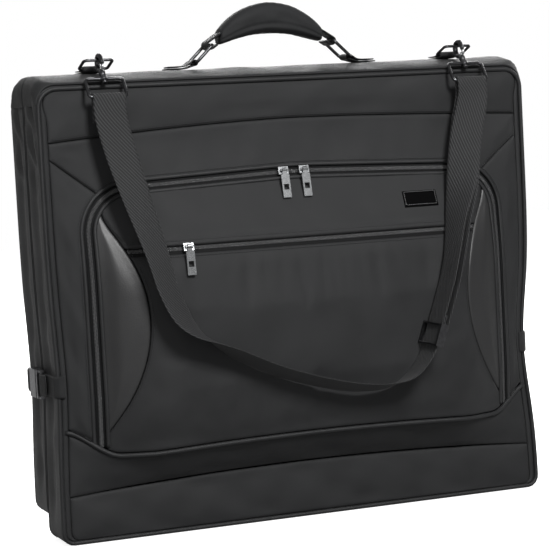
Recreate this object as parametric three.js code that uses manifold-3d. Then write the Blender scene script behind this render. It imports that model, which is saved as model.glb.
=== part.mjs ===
// Bi-fold garment bag: two flat halves joined over the top by a book-like spine, with a carry handle,
// a shoulder strap on snap hooks, zips with sliders, and a side-release buckle at each side.
//
// Millimetres. X runs across the bag, the front faces -Y, and Z is up. The origin is the centre of the
// front half's flat bottom edge. The bag is shown folded shut.
import * as THREE from 'three';
import * as BufferGeometryUtils from 'three/addons/utils/BufferGeometryUtils.js';
import Module from 'manifold-3d';

const wasm = await Module();
wasm.setup();

// ---- driving dimensions ----------------------------------------------------------------------------
const WIDTH = 610;
const HEIGHT = 521;              // bottom edge to the fold line of the front half
const HALF_DEPTH = 56;           // thickness of one half
const HALF_GAP = 4;              // air between the folded halves
const BACK_LIFT = 22;            // the back half is this much shorter
const LINING_INSET = 8;          // linings stop this far inside the sides
const CLOTH = 2.5;               // padded cloth with its backing
const GUSSET = 2;
const PIPING_R = 2.5;
const SEAM_GAP = 0.8;            // room between neighbouring panels
const CLEAR = 0.4;               // room between pieces that rest on each other
const SPINE_CROWN = 11;          // rise of the spine between its two fold lines
const SPINE_INSET = 22;          // the spine ends this far inside the halves' sides
const PIPING_SINK = 0.5;         // piping sits this far inside the outer face
const PINCH_Z = 85;              // spread of the side straps' pull, up and down
const PINCH = { left: 4, right: 12 };

const FRONT_Y = -HALF_DEPTH / 2;
const FRONT_INNER_Y = HALF_DEPTH / 2;
const BACK_INNER_Y = FRONT_INNER_Y + HALF_GAP;
const BACK_Y = BACK_INNER_Y + HALF_DEPTH;
const SPINE_MID_Y = (FRONT_Y + BACK_Y) / 2;
const TOP_CORNER_R = 24;
const BOTTOM_CORNER_R = 14;

// front pocket
const POCKET_SWELL = 47;         // how far the stuffed pocket stands proud
const SWELL_FULL_X = 175;        // the swell is full inside this half width
const SWELL_TOP_Z = 450;
const SWELL_FULL_Z = 280;
const MAIN_ZIP_Z = 409;
const MAIN_ZIP_X = 256;
const MAIN_ZIP_R = 52;
const MAIN_ZIP_BOW = 7;          // drop of the main zip from its middle to its corners
const ZIP_PEAK_R = 20;           // how gently the main zip turns at its middle
const POCKET_ZIP_Z = 330;
const ZIP_TAPE = 16;             // width of the zip tape that shows
const TAPE_THICK = 1.2;
const COIL_WIDTH = 5;
const COIL_HEIGHT = 1.4;
const CRESCENT_LOW_Z = 124;
const CRESCENT_HIGH_Z = 380;
const CRESCENT_INNER_X = 199;
const CRESCENT_TIP = 2;          // width left at each tip
const HEM_Z = 54;                // crease under the pocket
const PIPING_END_Z = 130;        // where the pocket's piping meets the sides
const MAIN_SLIDER_X = [-18, 8];
const POCKET_SLIDER_X = -149;
const BACK_SLIDER_X = 185;
const LABEL = { fromX: 129, toX: 171, fromZ: 359, toZ: 376, proud: 1.3, thick: 0.9 };

// straps and hardware
const STRAP_WIDTH = 38;
const STRAP_THICK = 1.6;
const SIDE_STRAP_WIDTH = 25;
const BUCKLE_Z = 182;
const HARDWARE_X = 226;          // both rings for the shoulder strap
const RING_WIRE_R = 1.75;
const RING_BAR = [8, 538];       // y, z of the bar held in the tab
const RING_BOW = [-17, 547];     // y, z of the straight wire that the hook holds
const RING_WIDTH = 34;
const RING_TAB_WIDTH = 25;
const LOOP_BAR = [-48, 505];     // y, z of the bar that holds the webbing
const HANDLE_FOOT_X = 98;
const HANDLE_FOOT_Z = 541;
const HANDLE_TOP_X = 77;
const HANDLE_TOP_Z = 561;
const HANDLE_CROWN_Z = 592;
const GRIP_REACH = 64;           // half length of the padded grip
const HANDLE_WIDTH = 24;
const HANDLE_THICK = 2.4;
const HANDLE_RING_R = 2;
const HANDLE_PLAY = 1.4;         // room for the ring in the handle's end loop

// back half
const BACK_CROWN = 6;
const BACK_ZIP_Z = 330;
const BACK_ZIP_X = 200;
const GARMENT_STRAP_Z = 250;
const GARMENT_STRAP_LENGTH = 500;

// ---- materials -------------------------------------------------------------------------------------
const cloth = () => new THREE.MeshStandardMaterial({ color: 0x35363a, roughness: 0.85, metalness: 0 });
const leather = () => new THREE.MeshStandardMaterial({ color: 0x3a3a3c, roughness: 0.35, metalness: 0 });
const webbing = () => new THREE.MeshStandardMaterial({ color: 0x303135, roughness: 0.8, metalness: 0 });
const lining = () => new THREE.MeshStandardMaterial({ color: 0x1c1d20, roughness: 0.7, metalness: 0 });
const coil = () => new THREE.MeshStandardMaterial({ color: 0x17181a, roughness: 0.5, metalness: 0 });
const steel = () => new THREE.MeshStandardMaterial({ color: 0xb8babd, roughness: 0.25, metalness: 1 });
const gunmetal = () => new THREE.MeshStandardMaterial({ color: 0x4a4b4e, roughness: 0.35, metalness: 0.9 });
const board = () => new THREE.MeshStandardMaterial({ color: 0x222222, roughness: 0.6, metalness: 0 });

// ---- geometry helpers ------------------------------------------------------------------------------
const vec = (x, y, z) => new THREE.Vector3(x, y, z);
const lerp = THREE.MathUtils.lerp;
const clamp = THREE.MathUtils.clamp;
const rad = THREE.MathUtils.degToRad;

function smooth(t) {
  const s = clamp(t, 0, 1);
  return s * s * (3 - 2 * s);
}

// A closed mesh from points and triangles, turned so that its faces point out.
function solidGeometry(points, triangles) {
  let volume = 0;
  for (const [a, b, c] of triangles) {
    volume += points[a].dot(points[b].clone().cross(points[c]));
  }
  const order = volume < 0 ? triangles.map(([a, b, c]) => [a, c, b]) : triangles;
  const geometry = new THREE.BufferGeometry();
  const flat = points.flatMap((p) => [p.x, p.y, p.z]);
  geometry.setAttribute('position', new THREE.Float32BufferAttribute(flat, 3));
  geometry.setIndex(order.flat());
  return geometry;
}

// Sweeps a 2D section along stations, each with a place p, a side direction s and a normal n. Opposite
// faces are split along the same diagonal, so that a twisted thin strip keeps its thickness.
function sweep(stations, outline2D, closed = false) {
  const isClockWise = THREE.ShapeUtils.isClockWise(outline2D.map(([a, b]) => new THREE.Vector2(a, b)));
  const section = isClockWise ? outline2D.toReversed() : outline2D;
  const ring = section.length;
  const points = stations.flatMap(({ p, s, n }) => section.map(
    ([a, b]) => p.clone().addScaledVector(s, a).addScaledVector(n, b)));
  const triangles = [];
  const spans = closed ? stations.length : stations.length - 1;
  for (let i = 0; i < spans; i += 1) {
    const here = i * ring;
    const next = ((i + 1) % stations.length) * ring;
    for (let j = 0; j < ring; j += 1) {
      const k = (j + 1) % ring;
      if (section[j][0] <= section[k][0]) {
        triangles.push([here + j, here + k, next + k], [here + j, next + k, next + j]);
      } else {
        triangles.push([here + j, here + k, next + j], [here + k, next + k, next + j]);
      }
    }
  }
  if (!closed) {
    const outline = section.map(([a, b]) => new THREE.Vector2(a, b));
    const last = (stations.length - 1) * ring;
    for (const [a, b, c] of THREE.ShapeUtils.triangulateShape(outline, [])) {
      triangles.push([a, c, b], [last + a, last + b, last + c]);
    }
  }
  return solidGeometry(points, triangles);
}

// A panel of cloth: a grid of front points, thickened along +Y (or -Y with a negative thickness).
function panel(columns, rows, place, thickness = CLOTH) {
  const points = [];
  for (const offset of [0, thickness]) {
    for (let j = 0; j <= rows; j += 1) {
      for (let i = 0; i <= columns; i += 1) {
        const [x, y, z] = place(i / columns, j / rows);
        points.push(vec(x, y + offset, z));
      }
    }
  }
  const layer = (columns + 1) * (rows + 1);
  const at = (i, j, side) => side * layer + j * (columns + 1) + i;
  const triangles = [];
  const quad = (a, b, c, d) => triangles.push([a, b, c], [a, c, d]);
  for (let j = 0; j < rows; j += 1) {
    for (let i = 0; i < columns; i += 1) {
      quad(at(i, j, 0), at(i + 1, j, 0), at(i + 1, j + 1, 0), at(i, j + 1, 0));
      quad(at(i, j, 1), at(i, j + 1, 1), at(i + 1, j + 1, 1), at(i + 1, j, 1));
    }
  }
  for (let i = 0; i < columns; i += 1) {
    quad(at(i, 0, 0), at(i, 0, 1), at(i + 1, 0, 1), at(i + 1, 0, 0));
    quad(at(i, rows, 0), at(i + 1, rows, 0), at(i + 1, rows, 1), at(i, rows, 1));
  }
  for (let j = 0; j < rows; j += 1) {
    quad(at(0, j, 0), at(0, j + 1, 0), at(0, j + 1, 1), at(0, j, 1));
    quad(at(columns, j, 0), at(columns, j, 1), at(columns, j + 1, 1), at(columns, j + 1, 0));
  }
  return solidGeometry(points, triangles);
}

const rectSection = (width, height, lift = 0) => [
  [-width / 2, lift - height / 2], [width / 2, lift - height / 2],
  [width / 2, lift + height / 2], [-width / 2, lift + height / 2]];

function roundSection(radius, sides = 8) {
  return Array.from({ length: sides }, (_, i) => {
    const angle = (i / sides) * Math.PI * 2;
    return [radius * Math.cos(angle), radius * Math.sin(angle)];
  });
}

// Points along a polyline whose corners [a, b, radius] are rounded.
function roundedLine(corners, closed = false, steps = 4) {
  const count = corners.length;
  const points = [];
  corners.forEach(([a, b, radius = 0], i) => {
    const here = new THREE.Vector2(a, b);
    const isEnd = !closed && (i === 0 || i === count - 1);
    if (isEnd || radius === 0) {
      points.push(here);
      return;
    }
    const before = new THREE.Vector2(...corners[(i + count - 1) % count]).sub(here).normalize();
    const after = new THREE.Vector2(...corners[(i + 1) % count]).sub(here).normalize();
    const half = Math.acos(clamp(before.dot(after), -1, 1)) / 2;
    const reach = radius / Math.tan(half);
    const centre = before.clone().add(after).normalize().multiplyScalar(radius / Math.sin(half)).add(here);
    const from = before.clone().multiplyScalar(reach).add(here).sub(centre);
    const to = after.clone().multiplyScalar(reach).add(here).sub(centre);
    const turn = Math.atan2(from.cross(to), from.dot(to));
    for (let k = 0; k <= steps; k += 1) {
      points.push(from.clone().rotateAround(new THREE.Vector2(), turn * k / steps).add(centre));
    }
  });
  return points;
}

// Stations for a line in a plane: place(point) gives 3D points, and fixed is the plane's own normal,
// used as the side direction.
function planarStations(line, place, fixed, closed = false) {
  const at = line.map((q) => place(q.x, q.y));
  return at.map((p, i) => {
    const before = at[closed ? (i + at.length - 1) % at.length : Math.max(i - 1, 0)];
    const after = at[closed ? (i + 1) % at.length : Math.min(i + 1, at.length - 1)];
    const inward = before.clone().sub(p).normalize();
    const outward = after.clone().sub(p).normalize();
    const along = outward.clone().sub(inward).normalize();
    const n = along.clone().cross(fixed).normalize();
    return { p, s: fixed.clone(), n };
  });
}

const inXZ = (y) => (a, b) => vec(a, y, b);
const inYZ = (x) => (a, b) => vec(x, a, b);
const axisX = vec(1, 0, 0);
const axisY = vec(0, 1, 0);

function box(sizeX, sizeY, sizeZ, x, y, z) {
  return new THREE.BoxGeometry(sizeX, sizeY, sizeZ).translate(x, y, z);
}

// A rod between two points.
function rod(from, to, radius, sides = 12) {
  const along = to.clone().sub(from).normalize();
  const side = Math.abs(along.x) > 0.9 ? axisY.clone() : axisX.clone();
  const n = along.clone().cross(side).normalize();
  const s = n.clone().cross(along).normalize();
  return sweep([{ p: from, s, n }, { p: to, s, n }], roundSection(radius, sides));
}

function toManifold(geometry) {
  const bare = geometry.clone();
  for (const name of ['normal', 'uv']) {
    bare.deleteAttribute(name);
  }
  const merged = BufferGeometryUtils.mergeVertices(bare, 1e-4);
  return new wasm.Manifold(new wasm.Mesh({
    numProp: 3,
    vertProperties: new Float32Array(merged.attributes.position.array),
    triVerts: new Uint32Array(merged.index.array),
  }));
}

function fromManifold(solid) {
  const mesh = solid.getMesh();
  const geometry = new THREE.BufferGeometry();
  geometry.setAttribute('position', new THREE.BufferAttribute(mesh.vertProperties, 3));
  geometry.setIndex(new THREE.BufferAttribute(mesh.triVerts, 1));
  return geometry;
}

function combine(added, removed = []) {
  let solid = added.map(toManifold).reduce((a, b) => a.add(b));
  for (const cut of removed) {
    solid = solid.subtract(toManifold(cut));
  }
  return fromManifold(solid);
}

const bag = new THREE.Group();

function add(name, geometry, material) {
  const mesh = new THREE.Mesh(geometry, material);
  mesh.name = name;
  bag.add(mesh);
}

const SIDES = [['left', -1], ['right', 1]];

// ---- shape of the halves ---------------------------------------------------------------------------
// The side straps pull the sides in at buckle height, more on the right than on the left.
function halfWidth(side, z) {
  const pull = side > 0 ? PINCH.right : PINCH.left;
  return WIDTH / 2 - pull * Math.exp(-(((z - BUCKLE_Z) / PINCH_Z) ** 2));
}

// Corners of one side of a half, from low to high, moved inward by inset.
function sideCorners(side, low, high, inset, topRadius, bottomRadius) {
  const steps = 10;
  return Array.from({ length: steps + 1 }, (_, k) => {
    const z = lerp(low + inset, high - inset, k / steps);
    const radius = k === 0 ? bottomRadius : k === steps ? topRadius : 0;
    return [side * (halfWidth(side, z) - inset), z, Math.max(radius - inset, 0)];
  });
}

// Closed outline of a half.
function outline(low, inset) {
  const high = HEIGHT - 2;
  return roundedLine([
    ...sideCorners(1, low, high, inset, TOP_CORNER_R, BOTTOM_CORNER_R),
    ...sideCorners(-1, low, high, inset, TOP_CORNER_R, BOTTOM_CORNER_R).reverse()], true);
}

// Outline open at the top, for the gusset.
function gussetLine(low) {
  const high = HEIGHT - 2 - TOP_CORNER_R;
  return roundedLine([
    ...sideCorners(1, low, high, 0, 0, BOTTOM_CORNER_R).reverse(),
    ...sideCorners(-1, low, high, 0, 0, BOTTOM_CORNER_R)]);
}

const smileZ = (x) => 105 - 5 * Math.min((x / 200) ** 2, 1) + 30 * smooth((Math.abs(x) - 235) / 62);
const creaseZ = (x) => HEM_Z + 12 * (1 - (x / 300) ** 2);

// y of the front's outer surface
function frontY(x, z) {
  const reach = smooth((WIDTH / 2 - Math.abs(x)) / (WIDTH / 2 - SWELL_FULL_X));
  const low = creaseZ(x);
  const high = smileZ(x);
  const height = z < high
    ? clamp((z - low) / (high - low), 0, 1)
    : smooth((SWELL_TOP_Z - z) / (SWELL_TOP_Z - SWELL_FULL_Z));
  return FRONT_Y - POCKET_SWELL * height * reach;
}

// y of the back's outer surface, slightly crowned
function backY(x, z) {
  const across = smooth((WIDTH / 2 - 6 - Math.abs(x)) / 70);
  const up = smooth((z - BACK_LIFT - 6) / 70) * smooth((HEIGHT - 8 - z) / 70);
  return BACK_Y + BACK_CROWN * across * up;
}

const EDGE = 2 * PIPING_R + SEAM_GAP;
const ZIP_HALF = ZIP_TAPE / 2 + SEAM_GAP;

const ZIP_CORNER_X = MAIN_ZIP_X - MAIN_ZIP_R;
const zipFall = (x) => Math.hypot(Math.min(Math.abs(x), ZIP_CORNER_X), ZIP_PEAK_R) - ZIP_PEAK_R;

// The main zip falls evenly from its middle to its corners.
const zipBow = (x) => MAIN_ZIP_BOW * zipFall(x) / zipFall(ZIP_CORNER_X);

// Half width of the flap inside the main zip.
function flapSide(z) {
  const straight = MAIN_ZIP_X - ZIP_HALF;
  const radius = MAIN_ZIP_R - ZIP_HALF;
  const rise = z - (MAIN_ZIP_Z - MAIN_ZIP_BOW - MAIN_ZIP_R);
  if (rise <= 0) {
    return straight;
  }
  return straight - radius + Math.sqrt(Math.max(radius ** 2 - rise ** 2, 0));
}

function crescentInner(z) {
  const t = (z - CRESCENT_LOW_Z) / (CRESCENT_HIGH_Z - CRESCENT_LOW_Z) * 2 - 1;
  const belly = Math.max(1 - t * t, 0);
  return flapSide(z) - CRESCENT_TIP - (flapSide(z) - CRESCENT_INNER_X) * belly;
}

// An upside-down U: leg, corner, top, corner, leg, always with the same number of points. bow says how
// far the top drops at each x.
function archLine(x, z, radius, legEnd, bow = () => 0) {
  const legSteps = 9;
  const cornerSteps = 5;
  const topSteps = 12;
  const shoulder = z - radius - bow(WIDTH / 2);
  const half = [];
  for (let k = 0; k < legSteps; k += 1) {
    half.push([-1, lerp(legEnd, shoulder, k / legSteps)]);
  }
  const points = half.map(([side, level]) => new THREE.Vector2(side * x(side, level), level));
  for (let k = 0; k <= cornerSteps; k += 1) {
    const angle = Math.PI - (k / cornerSteps) * Math.PI / 2;
    const centre = -x(-1, shoulder) + radius;
    points.push(new THREE.Vector2(centre + radius * Math.cos(angle), shoulder + radius * Math.sin(angle)));
  }
  const left = points.at(-1).x;
  const right = x(1, shoulder) - radius;
  for (let k = 1; k < topSteps; k += 1) {
    const across = lerp(left, right, k / topSteps);
    points.push(new THREE.Vector2(across, z - bow(across)));
  }
  for (let k = cornerSteps; k >= 0; k -= 1) {
    const angle = (k / cornerSteps) * Math.PI / 2;
    points.push(new THREE.Vector2(right + radius * Math.cos(angle), shoulder + radius * Math.sin(angle)));
  }
  for (const [, level] of half.toReversed()) {
    points.push(new THREE.Vector2(x(1, level), level));
  }
  return points;
}

const onFront = (q, lift = 0) => vec(q.x, frontY(q.x, q.y) - lift, q.y);

// ---- front half ------------------------------------------------------------------------------------
function zipEdge(offset) {
  const reach = MAIN_ZIP_X + offset;
  const legEnd = smileZ(MAIN_ZIP_X + 8) + PIPING_R + 2;
  return archLine(() => reach, MAIN_ZIP_Z + offset, MAIN_ZIP_R + offset, legEnd, zipBow);
}

function addFrontSurround() {
  const inner = zipEdge(ZIP_HALF);
  const top = HEIGHT - 2 - EDGE;
  const legEnd = smileZ(WIDTH / 2) + PIPING_R + SEAM_GAP;
  const outer = archLine((side, z) => halfWidth(side, z) - EDGE, top, TOP_CORNER_R - EDGE, legEnd);
  add('front_surround', panel(inner.length - 1, 4, (u, v) => {
    const i = Math.round(u * (inner.length - 1));
    const q = inner[i].clone().lerp(outer[i], v);
    const z = Math.max(q.y, smileZ(q.x) + PIPING_R + 2 * SEAM_GAP);
    return [q.x, frontY(q.x, z), z];
  }), cloth());
}

// A panel between two curves, low and high, that reaches to side(level) on both sides.
function frontBand(columns, rows, low, high, side) {
  return panel(columns, rows, (u, v) => {
    const level = lerp(low(WIDTH / 2), high(WIDTH / 2), v);
    const x = lerp(-side(-1, level), side(1, level), u);
    const z = lerp(low(x), high(x), v);
    return [x, frontY(x, z), z];
  });
}

function addFrontPanels() {
  const pipe = PIPING_R + 2 * SEAM_GAP;
  const beside = (z) => (z > CRESCENT_LOW_Z ? crescentInner(z) - 3 * SEAM_GAP : flapSide(z) - 4);
  add('upper_flap', frontBand(14, 7, () => POCKET_ZIP_Z + ZIP_HALF, (x) => MAIN_ZIP_Z - ZIP_HALF - zipBow(x),
    (_, z) => beside(z)), cloth());
  add('pocket_panel', frontBand(16, 8, (x) => smileZ(x) + pipe, () => POCKET_ZIP_Z - ZIP_HALF,
    (_, z) => beside(z)), cloth());
  add('pocket_underside', frontBand(20, 3, (x) => creaseZ(x) + SEAM_GAP, (x) => smileZ(x) - pipe,
    (side, z) => halfWidth(side, z) - EDGE), cloth());
  add('front_hem', frontBand(12, 4, () => EDGE, creaseZ,
    (side, z) => halfWidth(side, z) - BOTTOM_CORNER_R
      + Math.sqrt((BOTTOM_CORNER_R - EDGE) ** 2 - Math.max(BOTTOM_CORNER_R - z, 0) ** 2)), cloth());
  for (const [name, side] of SIDES) {
    add(`crescent_${name}`, panel(4, 14, (u, v) => {
      const z = lerp(CRESCENT_LOW_Z, CRESCENT_HIGH_Z, v);
      const x = side * lerp(crescentInner(z), flapSide(z), u);
      return [x, frontY(x, z), z];
    }), leather());
  }
}

// Stations along the strip between two lines on the front surface.
function stripStations(inner, outer) {
  return inner.map((q, i) => {
    const a = onFront(q);
    const b = onFront(outer[i]);
    const p = a.clone().add(b).multiplyScalar(0.5);
    const s = b.clone().sub(a).normalize();
    const before = Math.max(i - 1, 0);
    const after = Math.min(i + 1, inner.length - 1);
    const along = onFront(inner[after]).sub(onFront(inner[before])).normalize();
    const n = s.clone().cross(along).normalize();
    return { p, s, n: n.y > 0 ? n.negate() : n };
  });
}

const zipSection = [
  [-ZIP_TAPE / 2, -TAPE_THICK], [ZIP_TAPE / 2, -TAPE_THICK], [ZIP_TAPE / 2, 0], [COIL_WIDTH / 2, 0],
  [COIL_WIDTH / 2, COIL_HEIGHT], [-COIL_WIDTH / 2, COIL_HEIGHT], [-COIL_WIDTH / 2, 0], [-ZIP_TAPE / 2, 0]];

function levelLine(x, z, parts) {
  return Array.from({ length: parts + 1 }, (_, k) => new THREE.Vector2(lerp(-x, x, k / parts), z));
}

function addFrontZips() {
  add('main_zip', sweep(stripStations(zipEdge(-2), zipEdge(2)), zipSection), coil());
  const reach = CRESCENT_INNER_X - 1;
  const low = levelLine(reach, POCKET_ZIP_Z - 2, 14);
  const high = levelLine(reach, POCKET_ZIP_Z + 2, 14);
  add('pocket_zip', sweep(stripStations(low, high), zipSection), coil());
}

function addPiping(name, low, y) {
  const line = outline(low, PIPING_R);
  add(name, sweep(planarStations(line, inXZ(y), axisY, true), roundSection(PIPING_R, 6), true), cloth());
}

function addFrontHalf() {
  addFrontSurround();
  addFrontPanels();
  addFrontZips();
  addPiping('front_piping', 0, FRONT_Y + PIPING_SINK);

  const smile = Array.from({ length: 27 }, (_, k) => {
    const x = lerp(-halfWidth(-1, PIPING_END_Z) + 9, halfWidth(1, PIPING_END_Z) - 9, k / 26);
    return vec(x, frontY(x, smileZ(x)), smileZ(x));
  });
  const smileStations = smile.map((p) => ({ p, s: axisY, n: vec(0, 0, 1) }));
  add('pocket_piping', sweep(smileStations, roundSection(PIPING_R, 6)), cloth());

  addGusset('front_gusset', 0, FRONT_Y + PIPING_SINK + PIPING_R + CLEAR, FRONT_INNER_Y - CLOTH - CLEAR);
  add('front_lining', panel(2, 7, (u, v) => {
    const z = lerp(CLEAR, HEIGHT - 7, v);
    return [lerp(-halfWidth(-1, z) + LINING_INSET, halfWidth(1, z) - LINING_INSET, u), FRONT_INNER_Y, z];
  }, -CLOTH), lining());

  add('label_patch', panel(3, 2, (u, v) => {
    const x = lerp(LABEL.fromX, LABEL.toX, u);
    const z = lerp(LABEL.fromZ, LABEL.toZ, v);
    return [x, frontY(x, z) - LABEL.proud, z];
  }, LABEL.thick), leather());
}

// The band round the sides and bottom of a half. Its thickness lies inside the outline.
function addGusset(name, low, fromY, toY) {
  const stations = planarStations(gussetLine(low), inXZ((fromY + toY) / 2), axisY);
  const isOutward = stations[0].n.x * stations[0].p.x > 0;
  add(name, sweep(stations, rectSection(toY - fromY, GUSSET, isOutward ? -GUSSET / 2 : GUSSET / 2)), cloth());
}

// ---- back half -------------------------------------------------------------------------------------
function addBackHalf() {
  add('back_panel', panel(12, 12, (u, v) => {
    const z = lerp(BACK_LIFT + EDGE, HEIGHT - 2 - EDGE, v);
    const fromEnd = Math.min(z - BACK_LIFT, HEIGHT - 2 - z);
    const corner = z < HEIGHT / 2 ? BOTTOM_CORNER_R : TOP_CORNER_R;
    const cut = corner - Math.sqrt(Math.max((corner - EDGE) ** 2 - Math.max(corner - fromEnd, 0) ** 2, 0));
    const x = lerp(-halfWidth(-1, z) + cut, halfWidth(1, z) - cut, u);
    return [x, backY(x, z), z];
  }, -CLOTH), cloth());
  addPiping('back_piping', BACK_LIFT, BACK_Y - PIPING_SINK);
  addGusset('back_gusset', BACK_LIFT, BACK_INNER_Y + CLOTH + CLEAR, BACK_Y - PIPING_SINK - PIPING_R - CLEAR);
  add('back_lining', panel(2, 7, (u, v) => {
    const z = lerp(BACK_LIFT + CLEAR, HEIGHT - 7, v);
    return [lerp(-halfWidth(-1, z) + LINING_INSET, halfWidth(1, z) - LINING_INSET, u), BACK_INNER_Y, z];
  }), lining());

  const zipY = BACK_Y + BACK_CROWN + CLEAR + TAPE_THICK;
  const ends = [-BACK_ZIP_X, BACK_ZIP_X].map((x) => (
    { p: vec(x, zipY, BACK_ZIP_Z), s: vec(0, 0, 1), n: axisY }));
  add('back_zip', sweep(ends, zipSection), coil());
  const strap = box(GARMENT_STRAP_LENGTH, STRAP_THICK, STRAP_WIDTH, 0, BACK_Y - CLOTH - 3, GARMENT_STRAP_Z);
  add('garment_strap', strap, webbing());
}

function addHangerClamp() {
  const pinY = BACK_Y - 16;
  const pinZ = BACK_LIFT + 46;
  const ears = [-1, 1].map((side) => box(3, 13, 8, side * 40, BACK_Y - 12.5, pinZ));
  const pin = rod(vec(-41, pinY, pinZ), vec(41, pinY, pinZ), 1.5);
  const plate = box(90, 3, 40, 0, BACK_Y - 7, BACK_LIFT + 34);
  add('hanger_clamp_base', combine([plate, ...ears, pin]), gunmetal());
  const knuckle = rod(vec(-36, pinY, pinZ), vec(36, pinY, pinZ), 3.4);
  const blade = box(72, 2.4, 30, 0, pinY, pinZ - 16);
  const bore = rod(vec(-37, pinY, pinZ), vec(37, pinY, pinZ), 2);
  add('hanger_clamp_jaw', combine([knuckle, blade], [bore]), gunmetal());
}

// ---- spine -----------------------------------------------------------------------------------------
function spineTop(y) {
  const t = (y - SPINE_MID_Y) / (BACK_Y - SPINE_MID_Y);
  return HEIGHT + 1 + SPINE_CROWN * (1 - t * t);
}

function addSpine() {
  const steps = 12;
  const top = Array.from({ length: steps + 1 }, (_, k) => {
    const y = lerp(FRONT_Y + 1, BACK_Y - 1, k / steps);
    return [y, spineTop(y)];
  });
  const under = top.toReversed().map(([y, z]) => [y, z - CLOTH]);
  const reach = WIDTH / 2 - SPINE_INSET;
  const ends = [-reach, reach].map((x) => ({ p: vec(x, 0, 0), s: axisY, n: vec(0, 0, 1) }));
  add('spine_panel', sweep(ends, [...top, ...under]), cloth());
  add('spine_board', box(540, 84, 1.6, 0, SPINE_MID_Y, HEIGHT - 3), board());

  const [barY, barZ] = RING_BAR;
  const [bowY, bowZ] = RING_BOW;
  const wrap = RING_WIRE_R + CLEAR + STRAP_THICK / 2;
  for (const [name, side] of SIDES) {
    const line = tabLine(barY, barZ, wrap, 1, spineTop(barY + 14) + 1.4);
    const stations = planarStations(line, inYZ(side * HARDWARE_X), axisX);
    add(`ring_tab_${name}`, sweep(stations, rectSection(RING_TAB_WIDTH, STRAP_THICK)), webbing());
    const x = side * HARDWARE_X;
    const ring = wireRing(vec(x, barY, barZ), vec(x, bowY, bowZ), axisX, RING_WIDTH, RING_WIRE_R, 4);
    add(`d_ring_${name}`, ring, gunmetal());
    const foot = HANDLE_RING_R + CLEAR + STRAP_THICK / 2;
    const footLine = tabLine(side * HANDLE_FOOT_X, HANDLE_FOOT_Z, foot, side, spineTop(SPINE_MID_Y) + 1.6);
    const handleStations = planarStations(footLine, inXZ(SPINE_MID_Y), axisY);
    add(`handle_tab_${name}`, sweep(handleStations, rectSection(HANDLE_WIDTH, STRAP_THICK)), webbing());
  }
}

// A folded tab: along the floor, round a bar at (a, b), and back above itself, away from the bar
// in the direction way.
function tabLine(a, b, wrap, way, floor) {
  const points = [[34, floor - b], [12, floor - b]];
  const from = -Math.PI * 0.42;
  const to = -Math.PI * 1.72;
  for (let k = 0; k <= 8; k += 1) {
    const angle = lerp(from, to, k / 8);
    points.push([wrap * Math.cos(angle), wrap * Math.sin(angle)]);
  }
  points.push([10, floor - b + 3.4], [16, floor - b + 2.5], [32, floor - b + 2.3]);
  return points.map(([da, db]) => new THREE.Vector2(a + way * da, b + db));
}

// ---- carry handle ----------------------------------------------------------------------------------
// A closed ring of wire: a rounded rectangle between two bars that run along the direction wide.
function wireRing(from, to, wide, width, wire, radius) {
  const up = to.clone().sub(from);
  const length = up.length();
  up.normalize();
  const line = roundedLine([[-width / 2, 0, radius], [width / 2, 0, radius],
    [width / 2, length, radius], [-width / 2, length, radius]], true, 3);
  const place = (a, b) => from.clone().addScaledVector(wide, a).addScaledVector(up, b);
  const normal = wide.clone().cross(up).normalize();
  return sweep(planarStations(line, place, normal, true), roundSection(wire, 6), true);
}

const handleZ = (x) => HANDLE_CROWN_Z - (HANDLE_CROWN_Z - HANDLE_TOP_Z - 4) * (x / HANDLE_TOP_X) ** 2;

function handleLine() {
  const wrap = HANDLE_RING_R + HANDLE_PLAY + HANDLE_THICK / 2;
  const half = [[69, HANDLE_TOP_Z]];
  for (let k = 0; k <= 8; k += 1) {
    const angle = lerp(-Math.PI * 0.62, Math.PI * 0.42, k / 8);
    half.push([HANDLE_TOP_X + wrap * Math.cos(angle), HANDLE_TOP_Z + wrap * Math.sin(angle)]);
  }
  for (const x of [68, 58, 48, 36, 24, 12]) {
    half.push([x, handleZ(x) + 1]);
  }
  const left = half.map(([x, z]) => new THREE.Vector2(-x, z));
  const right = half.map(([x, z]) => new THREE.Vector2(x, z)).reverse();
  return [...left, new THREE.Vector2(0, HANDLE_CROWN_Z + 1), ...right];
}

function addHandle() {
  for (const [name, side] of SIDES) {
    const foot = vec(side * HANDLE_FOOT_X, SPINE_MID_Y, HANDLE_FOOT_Z);
    const top = vec(side * HANDLE_TOP_X, SPINE_MID_Y, HANDLE_TOP_Z);
    add(`handle_ring_${name}`, wireRing(foot, top, axisY, HANDLE_WIDTH + 8, HANDLE_RING_R, 4), gunmetal());
  }
  const stations = planarStations(handleLine(), inXZ(SPINE_MID_Y), axisY);
  add('handle_webbing', sweep(stations, rectSection(HANDLE_WIDTH, HANDLE_THICK)), webbing());

  const gripStations = Array.from({ length: 13 }, (_, k) => {
    const x = lerp(-GRIP_REACH, GRIP_REACH, k / 12);
    const full = Math.sqrt(1 - (x / (GRIP_REACH + 2.5)) ** 2);
    const centre = handleZ(x) - 1 - 3 * (1 - full);
    return { p: vec(x, SPINE_MID_Y, centre), s: axisY.clone(), n: vec(0, 0, lerp(5, 18.5, full)) };
  });
  const oval = roundSection(1, 16).map(([a, b]) => {
    const stretch = (Math.abs(a) ** 3 + Math.abs(b) ** 3) ** (-1 / 3);
    return [a * stretch * 14.5, b * stretch];
  });
  const slotLine = Array.from({ length: 17 }, (_, k) => {
    const x = lerp(-GRIP_REACH - 2, GRIP_REACH + 2, k / 16);
    return new THREE.Vector2(x, handleZ(x) + 1);
  });
  const slot = sweep(planarStations(slotLine, inXZ(SPINE_MID_Y), axisY),
    rectSection(HANDLE_WIDTH + 1, HANDLE_THICK + 1.6));
  add('handle_grip', combine([sweep(gripStations, oval)], [slot]), cloth());
}

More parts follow.
